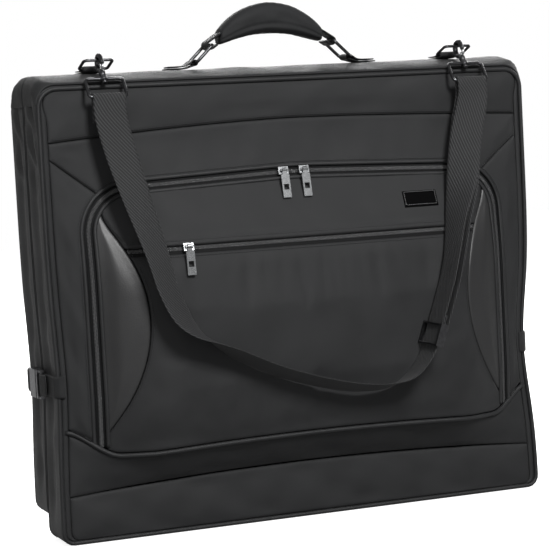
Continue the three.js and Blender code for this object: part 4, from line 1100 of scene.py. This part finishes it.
def build_back():
    def panel(low, high):
        def place(u, v):
            z = lerp(low, high, v)
            x = lerp(-edge_limit(-1, z, BACK_LIFT), edge_limit(1, z, BACK_LIFT), u)
            return x, back_y(x, z), z
        return place

    def end_strip(side):
        def place(u, v):
            z = lerp(BACK_ZIP_Z - ZIP_OPEN + 0.5, BACK_ZIP_Z + ZIP_OPEN - 0.5, v)
            x = side * lerp(BACK_ZIP_X + 1, half_width(side, z) - EDGE, u)
            return x, back_y(x, z), z
        return place

    lower = panel(BACK_LIFT + EDGE, BACK_ZIP_Z - ZIP_OPEN)
    upper = panel(BACK_ZIP_Z + ZIP_OPEN, TOP_Z - EDGE)
    back_cloth("back_lower_cloth", lower, (600, 297), 8, seed=51, puff=1.2, ripple=1.0, ripple_length=190)
    back_cloth("back_upper_cloth", upper, (600, 178), 8, seed=53, puff=1.2, ripple=0.9, ripple_length=170)
    for name, side in SIDES:
        back_cloth(f"back_strip_{name}", end_strip(side), (98, 10.2), 5, seed=55, puff=0.2, ripple=0.1,
                   roll=1.6)


# ---- webbing tabs, handle, straps ------------------------------------------------------------------
def wrap_radius(bar_r):
    """How far webbing's middle layer lies from the middle of a bar that it wraps."""
    return bar_r + WEB_CLEARANCE + STRAP_THICK / 2


def tab_line(a, b, wrap, way, floor):
    """A tab seen from its edge: sewn down, round the bar at a, b, and back over itself."""
    points = [(34, floor - b), (12, floor - b)]
    for k in range(15):
        angle = lerp(-math.pi * 0.42, -math.pi * 1.72, k / 14)
        points.append((wrap * math.cos(angle), wrap * math.sin(angle)))
    points += [(10, floor - b + 3.4), (16, floor - b + 2.5), (32, floor - b + 2.3)]
    return np.array([(a + way * da, b + db) for da, db in points])


def smooth_line(points, step=1.2, passes=2):
    line = resample(points, step)
    for _ in range(passes):
        line[1:-1] = (line[:-2] + 2 * line[1:-1] + line[2:]) / 4
    return line


def build_tabs():
    ring_section = strip_section(RING_TAB_WIDTH, STRAP_THICK)
    handle_section = strip_section(HANDLE_WIDTH, STRAP_THICK)
    ring_floor = spine_top(RING_BAR[0] + 14) + 1.4
    handle_floor = spine_top(SPINE_MID_Y) + 1.6
    for name, side in SIDES:
        line = smooth_line(tab_line(*RING_BAR, wrap_radius(RING_WIRE_R), 1, ring_floor))
        points = np.stack([np.full(len(line), side * HARDWARE_X), line[:, 0], line[:, 1]], 1)
        tab = sweep(f"ring_tab_webbing_{name}", points, X_AXIS, ring_section, TAB)
        place_piece(tab, "spine", [f"ring_tab_{name}"])
        line = tab_line(side * HANDLE_FOOT_X, HANDLE_FOOT_Z, wrap_radius(HANDLE_RING_R), side, handle_floor)
        points = at_depth(smooth_line(line), SPINE_MID_Y)
        tab = sweep(f"handle_tab_webbing_{name}", points, Y_AXIS, handle_section, TAB)
        place_piece(tab, "spine", [f"handle_tab_{name}"])


def handle_z(x):
    return HANDLE_CROWN_Z - (HANDLE_CROWN_Z - HANDLE_TOP_Z - 4) * (x / HANDLE_TOP_X) ** 2


def handle_line():
    wrap = HANDLE_RING_R + 1.4 + HANDLE_THICK / 2
    half = [(69, HANDLE_TOP_Z)]
    for k in range(15):
        angle = lerp(-math.pi * 0.62, math.pi * 0.42, k / 14)
        half.append((HANDLE_TOP_X + wrap * math.cos(angle), HANDLE_TOP_Z + wrap * math.sin(angle)))
    half += [(x, handle_z(x) + 1) for x in (68, 58, 48, 36, 24, 12)]
    left = [(-x, z) for x, z in half]
    return np.array(left + [(0, HANDLE_CROWN_Z + 1)] + half[::-1])


def build_handle():
    points = at_depth(smooth_line(handle_line(), 1.5, 1), SPINE_MID_Y)
    loop = sweep("handle_loop_webbing", points, Y_AXIS, strip_section(HANDLE_WIDTH, HANDLE_THICK), TAB)
    place_piece(loop, "carry_handle", ["handle_webbing"])
    build_grip()


def build_grip():
    """The padded sleeve: a squarish section that thins to both ends, with a lip round its lower edge."""
    x = np.linspace(-GRIP_REACH, GRIP_REACH, 67)
    full = np.sqrt(1 - (x / (GRIP_REACH + 2.5)) ** 2)
    centre = handle_z(x) - 1 - 3 * (1 - full)
    tall = lerp(GRIP_END_HALF_HEIGHT, GRIP_HALF_HEIGHT, full)
    turn = np.arange(40) / 40 * 2 * math.pi
    a, b = np.cos(turn), np.sin(turn)
    stretch = (np.abs(a) ** GRIP_SQUARENESS + np.abs(b) ** GRIP_SQUARENESS) ** (-1 / GRIP_SQUARENESS)
    a, b = a * stretch, b * stretch
    lip = 1 + 0.07 * np.exp(-((b + 0.62) / 0.07) ** 2) - 0.11 * np.exp(-((b + 0.48) / 0.05) ** 2)
    pinch = 1 - 0.12 * smooth((np.abs(x) - 50) / 14)
    wrinkle = 1 + 0.02 * waves(x[:, None], (b * 18)[None] + 9 * np.sign(a)[None], 61, 26)
    y = SPINE_MID_Y + GRIP_HALF_DEPTH * (a * lip)[None] * pinch[:, None] * wrinkle
    z = centre[:, None] + b[None] * tall[:, None] * 0.99 * wrinkle
    rings = np.stack([x[:, None] + 0 * y, y, z], -1)
    grip = make_object("handle_grip_padding", rings, tube_faces(*rings.shape[:2]), HANDLE_CLOTH)
    grip.data.flip_normals()
    puff_up(grip, 1.4)
    place_piece(grip, "carry_handle", ["handle_grip"])


# The strap's front layer, as in the CAD part: x, y, z and twist in degrees away from flat.
RUN_LOW = np.array([127.0, -102.0, 190.0])
RUN_HIGH = np.array([156.0, -102.0, 271.0])
RUN_TWIST = 88
STRAP_PATH_RIGHT = [
    (226, -52, 486, 0), (213, -56, 440, 18), (196, -70, 382, 52), (179, -86, 340, 82), (166, -99, 303, 88)]
STRAP_PATH_LEFT = [
    (107, -101, 166, 92), (82, -98, 155, 106), (40, -98, 156, 110), (-10, -98, 168, 110),
    (-62, -98, 186, 110), (-108, -98, 209, 106), (-135, -98, 225, 90), (-156, -98, 240, 62),
    (-171, -97, 258, 42), (-183, -93, 287, 38), (-189, -88, 315, 34), (-195, -81, 343, 30),
    (-209, -68, 399, 16), (-220, -56, 450, 4), (-226, -52, 486, 0)]
BAR_BEHIND = 4.8                # from the strap's front layer to the adjuster's bar
LAYER_WRAP = 2.5                # radius of the webbing's turn round that bar


def twisted_side(along, degrees):
    """The webbing's sideways direction, turned by a twist away from facing forwards."""
    flat = unit(np.cross(along, Y_AXIS))
    out = unit(np.cross(along, flat))
    out = -out if out[1] > 0 else out
    turn = math.radians(degrees)
    return unit(flat * math.cos(turn) + out * math.sin(turn))


def with_sides(points):
    """Each point with the webbing's sideways direction there, and the direction behind it."""
    result = []
    for i, (p, twist) in enumerate(points):
        along = unit(points[min(i + 1, len(points) - 1)][0] - points[max(i - 1, 0)][0])
        is_end = i in (0, len(points) - 1)
        side = X_AXIS if is_end else twisted_side(along, twist)
        behind = unit(np.cross(along, side))
        result.append((p, side, -behind if behind[1] < 0 else behind))
    return result


def bar_wrap(x, from_behind):
    """The webbing's turn over the bar of a hook's wire loop."""
    radius = LOOP_WIRE_R + LOOP_CLEARANCE + STRAP_THICK / 2
    bar_y, bar_z = LOOP_BAR
    turns = np.radians([0, 45, 90, 135, 180])
    points = [np.array([x, bar_y + radius * math.cos(t), bar_z + radius * math.sin(t)]) for t in turns]
    points = points if from_behind else points[::-1]
    return [(p, X_AXIS) for p in points]


def strap_controls():
    """The strap's path with its sideways directions, from its sewn end at the adjuster to its left end."""
    run_dir = unit(RUN_HIGH - RUN_LOW)
    run_side = twisted_side(-run_dir, RUN_TWIST)
    run_behind = unit(np.cross(run_dir, run_side))
    run_behind = -run_behind if run_behind[1] < 0 else run_behind
    paths = (STRAP_PATH_RIGHT, STRAP_PATH_LEFT)
    listed = [[(np.array(row[:3], float), row[3]) for row in path] for path in paths]
    run = [(lerp(RUN_LOW, RUN_HIGH, t), RUN_TWIST) for t in (1, 0.86, 0.09, 0)]
    front_layer = with_sides([*listed[0], *run, *listed[1]])
    apart = BAR_BEHIND + LAYER_WRAP
    behind = [(p + away * apart, side) for p, side, away in front_layer[:len(STRAP_PATH_RIGHT) + 2]][::-1]
    near_bar = [(24, 0), (8, 0), (0, 0), (-1.8, 0.7), (-LAYER_WRAP, LAYER_WRAP), (-1.8, 2 * LAYER_WRAP - 0.7),
                (0, 2 * LAYER_WRAP), (8, 2 * LAYER_WRAP)]
    adjuster_at = RUN_LOW + run_dir * 22
    tail = [(adjuster_at + run_dir * t + run_behind * (BAR_BEHIND - LAYER_WRAP + n), run_side)
            for t, n in near_bar]
    left_tail = [(np.array([-HARDWARE_X, LOOP_BAR[0] + 3.6, z], float), X_AXIS) for z in (490, 476)]
    return (tail + behind + bar_wrap(HARDWARE_X, True) + [(p, side) for p, side, _ in front_layer]
            + bar_wrap(-HARDWARE_X, False) + left_tail)


def centripetal(points, per_span):
    """Catmull-Rom curve through points, with knots spaced by the root of the distance."""
    extended = np.concatenate([[2 * points[0] - points[1]], points, [2 * points[-1] - points[-2]]])
    result = []
    for i in range(1, len(extended) - 2):
        p = extended[i - 1:i + 3]
        gaps = np.sqrt(np.linalg.norm(np.diff(p, axis=0), axis=1))
        first = (p[1] - p[0]) / gaps[0] - (p[2] - p[0]) / (gaps[0] + gaps[1]) + (p[2] - p[1]) / gaps[1]
        second = (p[2] - p[1]) / gaps[1] - (p[3] - p[1]) / (gaps[1] + gaps[2]) + (p[3] - p[2]) / gaps[2]
        first, second = first * gaps[1], second * gaps[1]
        for k in range(per_span):
            t = k / per_span
            cube = 2 * (p[1] - p[2]) + first + second
            square = 3 * (p[2] - p[1]) - 2 * first - second
            result.append(p[1] + first * t + square * t ** 2 + cube * t ** 3)
    result.append(points[-1])
    return np.array(result)


def build_strap():
    controls = strap_controls()
    per_span = 16
    points = centripetal(np.array([p for p, _ in controls]), per_span)
    sides = [controls[0][1]]
    for k in range(1, len(points)):
        i = min(k // per_span, len(controls) - 2)
        a, b = (side * (-1 if side @ sides[-1] < 0 else 1) for side in (controls[i][1], controls[i + 1][1]))
        sides.append(lerp(a, b, k / per_span - i))
    sides = unit(np.array(sides))
    for _ in range(60):
        sides[1:-1] = unit(sides[:-2] + 2 * sides[1:-1] + sides[2:])
    even = resample(np.concatenate([points, sides], 1), 1.6)
    section = strip_section(STRAP_WIDTH, STRAP_THICK, 15)
    strap = sweep("shoulder_strap_webbing", even[:, :3], even[:, 3:], section, STRAP)
    place_piece(strap, "shoulder_strap", ["shoulder_webbing"])


def side_strap_line(side, front, seam_y, bar_y, way):
    """Depth and sideways place of a side strap: sewn down, to the buckle's bar and back over itself."""
    wall = float(half_width(side, BUCKLE_Z)) + 1.3
    middle = wall + 1 + 4.5
    wrap = wrap_radius(BUCKLE_BAR_R)
    low = wall + 0.2 + STRAP_THICK / 2
    sewn = [(seam_y - way * 6, low)]
    if front:
        edge = half_width(side, BUCKLE_Z)
        sewn = [(FRONT_Y - 3.6, edge - 9), (FRONT_Y - 4.2, edge - 3), (FRONT_Y + 0.5, edge + 2.2)]
    line = [*sewn, (seam_y, low), (lerp(seam_y, bar_y, 0.5), low),
            (bar_y - way * 6, lerp(low, middle - wrap, 0.8))]
    for k in range(11):
        angle = lerp(-math.pi / 2, math.pi * 0.6, k / 10)
        line.append((bar_y + way * wrap * math.cos(angle), middle + wrap * math.sin(angle)))
    line += [(bar_y - way * 8, middle + wrap - 0.8), (bar_y - way * 17, middle + 0.2)]
    return smooth_line(np.array(line))


def build_side_straps():
    section = strip_section(SIDE_STRAP_WIDTH, STRAP_THICK)
    for name, side in SIDES:
        for where, seam_y, bar_y, way in (("front", FRONT_Y + 7, PLUG_BAR_Y, 1),
                                          ("back", BACK_Y - 7, SOCKET_BAR_Y, -1)):
            line = side_strap_line(side, where == "front", seam_y, bar_y, way)
            points = np.stack([side * line[:, 1], line[:, 0], np.full(len(line), BUCKLE_Z)], 1)
            strap = sweep(f"side_strap_{where}_{name}", points, Z_AXIS, section, TAB)
            place_piece(strap, f"{where}_half", [f"buckle_strap_{where}_{name}"])


def build_garment_strap():
    x = np.linspace(-250, 250, 80)
    y = BACK_Y - 5.5 + 0 * x
    z = 250 - 2 * (1 - (x / 250) ** 2)
    section = strip_section(STRAP_WIDTH, 1.4)
    strap = sweep("garment_strap_webbing", np.stack([x, y, z], 1), Z_AXIS, section, TAB)
    place_piece(strap, "back_half", ["garment_strap"])


# ---- hardware --------------------------------------------------------------------------------------
CORNER_STEPS = 8


def rounded_loop(corners, radius, closed=True):
    """Points round a polygon with rounded corners."""
    corners = np.asarray(corners, float)
    count = len(corners)
    points = []
    for i in range(count):
        here = corners[i]
        if not closed and i in (0, count - 1):
            points.append(here)
            continue
        before = unit(corners[i - 1] - here)
        after = unit(corners[(i + 1) % count] - here)
        half = math.acos(np.clip(before @ after, -1, 1)) / 2
        size = radius[i] if np.ndim(radius) else radius
        reach = size / math.tan(half)
        centre = here + unit(before + after) * size / math.sin(half)
        a, b = here + before * reach - centre, here + after * reach - centre
        turn = math.atan2(a[0] * b[1] - a[1] * b[0], a @ b)
        for k in range(CORNER_STEPS + 1):
            t = turn * k / CORNER_STEPS
            spoke = [a[0] * math.cos(t) - a[1] * math.sin(t), a[0] * math.sin(t) + a[1] * math.cos(t)]
            points.append(centre + spoke)
    return np.array(points)


RING_BEND_R = 4


def wire_ring(name, start, end, wide, width, wire_r):
    """A ring of wire with rounded corners; its two bars lie at start and end, along wide."""
    start, end, wide = (np.asarray(v, float) for v in (start, end, wide))
    up = unit(end - start)
    length = np.linalg.norm(end - start)
    corners = [(-width / 2, 0), (width / 2, 0), (width / 2, length), (-width / 2, length)]
    line = rounded_loop(corners, RING_BEND_R)
    line = resample(np.concatenate([line, line[:1]]), 1.5)[:-1]
    points = start + line[:, :1] * wide + line[:, 1:] * up
    return sweep(name, points, np.cross(wide, up), round_section(wire_r), GUNMETAL, True)


def turned(name, start, end, radii, material=GUNMETAL):
    """A turned shape between two points: shares of the way, each with a radius."""
    start, end = np.asarray(start, float), np.asarray(end, float)
    shares = np.array([t for t, _ in radii])
    points = start + shares[:, None] * (end - start)
    along = unit(end - start)
    side = unit(np.cross(along, Y_AXIS + X_AXIS * 0.3))
    radii = np.array([r for _, r in radii])
    return sweep(name, points, side, round_section(1.0, 20), material, taper=radii)


HOOK_WIRE_R = 3.0
HOOK_PATH = [(9.5, -8.2), (-4.3, -8.2), (-4.3, 8.2), (9, 8.2), (16, 0), (31.5, 0)]
HOOK_BENDS = [0, 8.1, 8.1, 5, 5, 0]
HOOK_TIP = [(0, 1.8), (0.3, 2.6), (0.8, 2.5), (1, 1.2)]
HOOK_HEAD = [(0, 2.2), (0.15, 3.4), (0.7, 3.6), (1, 2.8)]
HOOK_SHANK = [(0, 1.8), (0.2, 3.5), (0.45, 4.2), (0.8, 3.6), (1, 2.6)]
HOOK_GATE = [(0, 1.0), (0.12, 1.6), (0.6, 1.5), (0.9, 1.6), (1, 1.0)]
LOOP_COLLAR = [(0, 3.6), (0.12, 4.5), (0.4, 4.6), (0.5, 4.2), (0.6, 4.6), (0.88, 4.5), (1, 3.6)]
HANG = np.array([0.0, LOOP_BAR[0] - RING_BOW[0], LOOP_BAR[1] - RING_BOW[1]])
HANG_LENGTH = math.hypot(HANG[1], HANG[2])      # from a D-ring's bow to the bar that the strap wraps


def build_hook(name, side):
    """A snap hook with its gate, and the wire loop below it; lengths along the hook start at the D-ring."""
    hook_dir = unit(HANG)
    across = np.array([0.0, -hook_dir[2], hook_dir[1]])
    origin = np.array([side * HARDWARE_X, *RING_BOW], float)

    def at(a, b=0):
        return origin + hook_dir * a + across * b

    line = resample(rounded_loop(HOOK_PATH, HOOK_BENDS, False), 1.0)
    points = origin + line[:, :1] * hook_dir + line[:, 1:] * across
    share = np.linspace(0, 1, len(points))
    wire = sweep(f"hook_wire_{name}", points, X_AXIS, round_section(HOOK_WIRE_R), GUNMETAL,
                 taper=lerp(0.8, 1.05, smooth(share * 3)))
    tip = turned(f"hook_tip_{name}", at(9.0, -8.2), at(11.2, -8.2), HOOK_TIP)
    head = turned(f"hook_head_{name}", at(30.6), at(33.6), HOOK_HEAD)
    shank = turned(f"hook_shank_{name}", at(14.5), at(24.2), HOOK_SHANK)
    hook = join(f"snap_hook_{name}", [wire, tip, head, shank])
    place_piece(hook, "shoulder_strap", [f"hook_{name}"])
    gate = turned(f"gate_{name}", at(11.3, -8.0), at(17.2, -4.7), HOOK_GATE, STEEL)
    place_piece(gate, f"hook_gate_{name}", [f"hook_gate_{name}"])
    loop = wire_ring(f"loop_wire_{name}", at(27), at(HANG_LENGTH), X_AXIS, STRAP_WIDTH + 6, LOOP_WIRE_R)
    collar = turned(f"loop_collar_{name}", at(24.2), at(29.8), LOOP_COLLAR)
    whole = join(f"swivel_loop_{name}", [loop, collar])
    place_piece(whole, "shoulder_strap", [f"strap_loop_{name}"])


def build_rings(name, side):
    ring = wire_ring(f"d_ring_wire_{name}", (side * HARDWARE_X, *RING_BAR), (side * HARDWARE_X, *RING_BOW),
                     X_AXIS, RING_WIDTH, RING_WIRE_R)
    place_piece(ring, f"d_ring_{name}", [f"d_ring_{name}"])
    foot = (side * HANDLE_FOOT_X, SPINE_MID_Y, HANDLE_FOOT_Z)
    top = (side * HANDLE_TOP_X, SPINE_MID_Y, HANDLE_TOP_Z)
    ring = wire_ring(f"handle_ring_wire_{name}", foot, top, Y_AXIS, HANDLE_WIDTH + 8, HANDLE_RING_R)
    place_piece(ring, f"handle_ring_{name}", [f"handle_ring_{name}"])


def finish_cad(node, material, bevel):
    """Gives a CAD piece that is shown its finish, with softened edges."""
    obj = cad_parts[node]
    obj.data.materials.clear()
    obj.data.materials.append(material)
    modifier = obj.modifiers.new("Bevel", "BEVEL")
    modifier.width = bevel * MM
    modifier.segments = 3
    modifier.limit_method = "ANGLE"
    modifier.angle_limit = math.radians(35)
    modifier.harden_normals = True


def finish_hardware():
    for name in ("main_left", "main_right", "pocket", "back"):
        finish_cad(f"{name}_slider", NICKEL, 0.55)
        finish_cad(f"{name}_pull", NICKEL, 0.35)
    for name, _ in SIDES:
        finish_cad(f"buckle_plug_{name}", STEEL, 0.7)
        finish_cad(f"buckle_socket_{name}", STEEL, 0.9)
    for name in ("strap_adjuster", "hanger_clamp_base", "hanger_clamp_jaw"):
        finish_cad(name, GUNMETAL, 0.4)
    finish_cad("spine_board", BOARD, 0.5)


# ---- stitching and label ---------------------------------------------------------------------------
def stitches(name, line, out, pitch=3.4, length=2.3, radius=0.32, slot="polyester", thread=THREAD):
    """A row of short threads along a line, each a little arched."""
    fine = resample(np.concatenate([line, out], 1), pitch)
    at, normal = fine[:, :3], unit(fine[:, 3:])
    along = frames_along(at)
    side = np.cross(along, normal)
    shares = np.array([-0.5, -0.2, 0.2, 0.5])
    rise = np.array([-0.35, 0.12, 0.12, -0.35])
    turn = np.arange(6) / 6 * 2 * math.pi
    height = rise[None, :, None, None] + radius * np.sin(turn)[None, None, :, None]
    points = (at[:, None, None] + along[:, None, None] * (shares * length)[None, :, None, None]
              + normal[:, None, None] * height
              + side[:, None, None] * (radius * np.cos(turn))[None, None, :, None])
    ring = grid_faces(4, 6, 0, False, True)
    faces = (np.arange(len(at))[:, None, None] * 24 + ring[None]).reshape(-1, 4)
    place_piece(make_object(name, points, faces, thread), "front_half")


def stitch_row(name, x, z, lift):
    stitches(name, *front_line(np.stack([x, z], 1), lift))


def build_stitching():
    x = np.linspace(-286, 286, 200)
    stitch_row("stitches_yoke", x, yoke_z(x) + 3.2, 0.75)
    for name, side in SIDES:
        x = np.linspace(DIAGONAL_X + 5, 287, 40)
        stitch_row(f"stitches_slant_{name}", side * x, band_low(x) + 3.2, 0.7)
        z = np.linspace(CRESCENT_LOW_Z + 16, CRESCENT_HIGH_Z - 12, 120)
        stitch_row(f"stitches_crescent_{name}", side * (crescent_inner(z) - 3.4), z, 0.9)
    stitches("stitches_zip_outer", *front_line(resample(zip_line(ZIP_OPEN + 5.2), 3), 1.0))
    x = np.linspace(-190, 190, 150)
    stitch_row("stitches_pocket_above", x, np.full_like(x, POCKET_ZIP_Z + 8.4), 1.9)
    stitch_row("stitches_pocket_below", x, np.full_like(x, POCKET_ZIP_Z - ZIP_OPEN - 3.4), 0.9)


LABEL_X = 150
LABEL_Z = 367.5
LABEL_HALF_X = 22
LABEL_HALF_Z = 9.5
LABEL_LIFT = 2.2
LABEL_MARGIN = 2                # from the patch's edge to its stitches


def build_label():
    """A plain dark woven patch, sewn on round its edge with pale thread."""
    def place(u, v):
        x = LABEL_X + (u * 2 - 1) * LABEL_HALF_X
        z = LABEL_Z + (v * 2 - 1) * LABEL_HALF_Z
        return front(x, z, LABEL_LIFT)

    cloth = Cloth(71, puff=0, ripple=0, thick=0.5, roll=0.4, pucker=0)
    sheet("label_patch_cloth", place, 2 * LABEL_HALF_X, 2 * LABEL_HALF_Z, LABEL, "front_half", "leather_trim",
          ["label_patch"], cloth, 2)
    x, z = LABEL_HALF_X - LABEL_MARGIN, LABEL_HALF_Z - LABEL_MARGIN
    line = rounded_loop([(-x, -z), (x, -z), (x, z), (-x, z)], 1.0) + [LABEL_X, LABEL_Z]
    at, out = front_line(np.concatenate([line, line[:1]]), LABEL_LIFT + 0.04)
    stitches("stitches_label", at, out, 2.4, 1.7, 0.2, "leather_trim", PALE_THREAD)


# ---- stage, light, camera --------------------------------------------------------------------------
def area_light(name, location, target, size, power):
    data = bpy.data.lights.new(name, "AREA")
    data.shape = "RECTANGLE"
    data.size, data.size_y = size
    data.energy = power
    lamp = bpy.data.objects.new(name, data)
    lamp.location = location
    lamp.rotation_mode = "QUATERNION"
    lamp.rotation_quaternion = (Vector(target) - Vector(location)).to_track_quat("-Z", "Y")
    bpy.context.scene.collection.objects.link(lamp)


FLOOR_REACH = 6000
FLOOR_Z = -0.6
WORLD_LIGHT = 0.24
FLOOR_GLOW = 0.85
FLOOR_SEEN = 0.88
FLOOR_BOUNCE = 0.3              # the floor lights the bag less than it shows, as a far backdrop would


def build_floor():
    nodes = Nodes("floor_pale")
    where = nodes.coordinates("Object", 1.0)
    seen = nodes.tree.nodes.new("ShaderNodeLightPath").outputs["Is Camera Ray"]
    mottle = nodes.ramp(nodes.noise(where, 3.0), 0.98, 1.0)
    tone = nodes.math("MULTIPLY", nodes.ramp(seen, FLOOR_BOUNCE, FLOOR_SEEN), mottle)
    colour = nodes.add("ShaderNodeCombineColor", Red=tone, Green=tone, Blue=tone).outputs[0]
    nodes.link(colour, nodes.shader.inputs["Base Color"])
    nodes.link(nodes.ramp(seen, 0.0, FLOOR_GLOW), nodes.shader.inputs["Emission Strength"])
    nodes.set(Roughness=0.85, Emission_Color=(1, 1, 1, 1))
    corners = [(x * FLOOR_REACH, y * FLOOR_REACH, FLOOR_Z) for x, y in ((-1, -1), (1, -1), (1, 1), (-1, 1))]
    make_object("floor", corners, [(0, 1, 2, 3)], nodes.material)


def build_lights():
    world = bpy.data.worlds.new("studio")
    world.use_nodes = True
    background = world.node_tree.nodes["Background"]
    background.inputs[0].default_value = (1, 1, 1, 1)
    seen = world.node_tree.nodes.new("ShaderNodeLightPath").outputs["Is Camera Ray"]
    strength = world.node_tree.nodes.new("ShaderNodeMapRange")
    strength.inputs["To Min"].default_value = WORLD_LIGHT
    strength.inputs["To Max"].default_value = 1.0
    world.node_tree.links.new(seen, strength.inputs["Value"])
    world.node_tree.links.new(strength.outputs[0], background.inputs[1])
    bpy.context.scene.world = world
    bpy.context.scene.view_settings.view_transform = "Standard"
    area_light("key", (0.1, -2.5, 2.1), (0, 0, 0.25), (0.7, 0.7), 88)
    area_light("side_card", (-1.7, -1.95, 1.2), (-0.2, 0, 0.3), (1.2, 1.7), 9)
    area_light("rim", (-0.3, 1.8, 2.2), (0, 0, 0.45), (1.6, 1.0), 6)
    area_light("back_card", (1.0, 2.7, 1.5), (0, 0.1, 0.25), (1.6, 1.6), 75)
    area_light("right_card", (2.4, 1.5, 1.1), (0.3, 0.05, 0.25), (1.0, 1.4), 32)


PHOTO_SIZE = 550
FOCAL_PIXELS = 2000
CAMERA_AZIMUTH = -21.07
CAMERA_ELEVATION = 4.28
CAMERA_ROLL = -3.05
CAMERA_AT = (-0.8698, -2.2063, 0.4632)
SENSOR = 36.0


def build_camera():
    azimuth, elevation, roll = (math.radians(v) for v in (CAMERA_AZIMUTH, CAMERA_ELEVATION, CAMERA_ROLL))
    forward = Vector((-math.sin(azimuth) * math.cos(elevation), math.cos(azimuth) * math.cos(elevation),
                      -math.sin(elevation)))
    right = forward.cross(Vector((0, 0, 1))).normalized()
    up = right.cross(forward)
    tilted_right = right * math.cos(roll) + up * math.sin(roll)
    tilted_up = up * math.cos(roll) - right * math.sin(roll)
    data = bpy.data.cameras.new("camera")
    data.sensor_width = SENSOR
    data.lens = SENSOR * FOCAL_PIXELS / PHOTO_SIZE
    data.clip_end = 50
    camera = bpy.data.objects.new("camera", data)
    matrix = Matrix((tilted_right, tilted_up, -forward)).transposed().to_4x4()
    matrix.translation = CAMERA_AT
    camera.matrix_world = matrix
    bpy.context.scene.collection.objects.link(camera)
    bpy.context.scene.camera = camera


build_surround()
build_pocket()
build_crescents()
build_zips()
build_welts()
build_piping()
build_gusset("front_gusset_cloth", 0, FRONT_Y + 1.5, FRONT_INNER_Y - 1, "front_half", "front_gusset", 81)
build_gusset("back_gusset_cloth", BACK_LIFT, BACK_INNER_Y + 1, BACK_Y - 1.5, "back_half", "back_gusset", 83)
build_edge_strips()
build_binding("front_binding", 0, FRONT_INNER_Y - 0.8, "front_half")
build_binding("back_binding", BACK_LIFT, BACK_INNER_Y + 0.8, "back_half")
build_linings()
build_spine()
build_hinge_welts()
build_back()
build_tabs()
build_handle()
build_strap()
build_side_straps()
build_garment_strap()
for side_name, side_sign in SIDES:
    build_hook(side_name, side_sign)
    build_rings(side_name, side_sign)
finish_hardware()
build_stitching()
build_label()
build_floor()
build_lights()
build_camera()
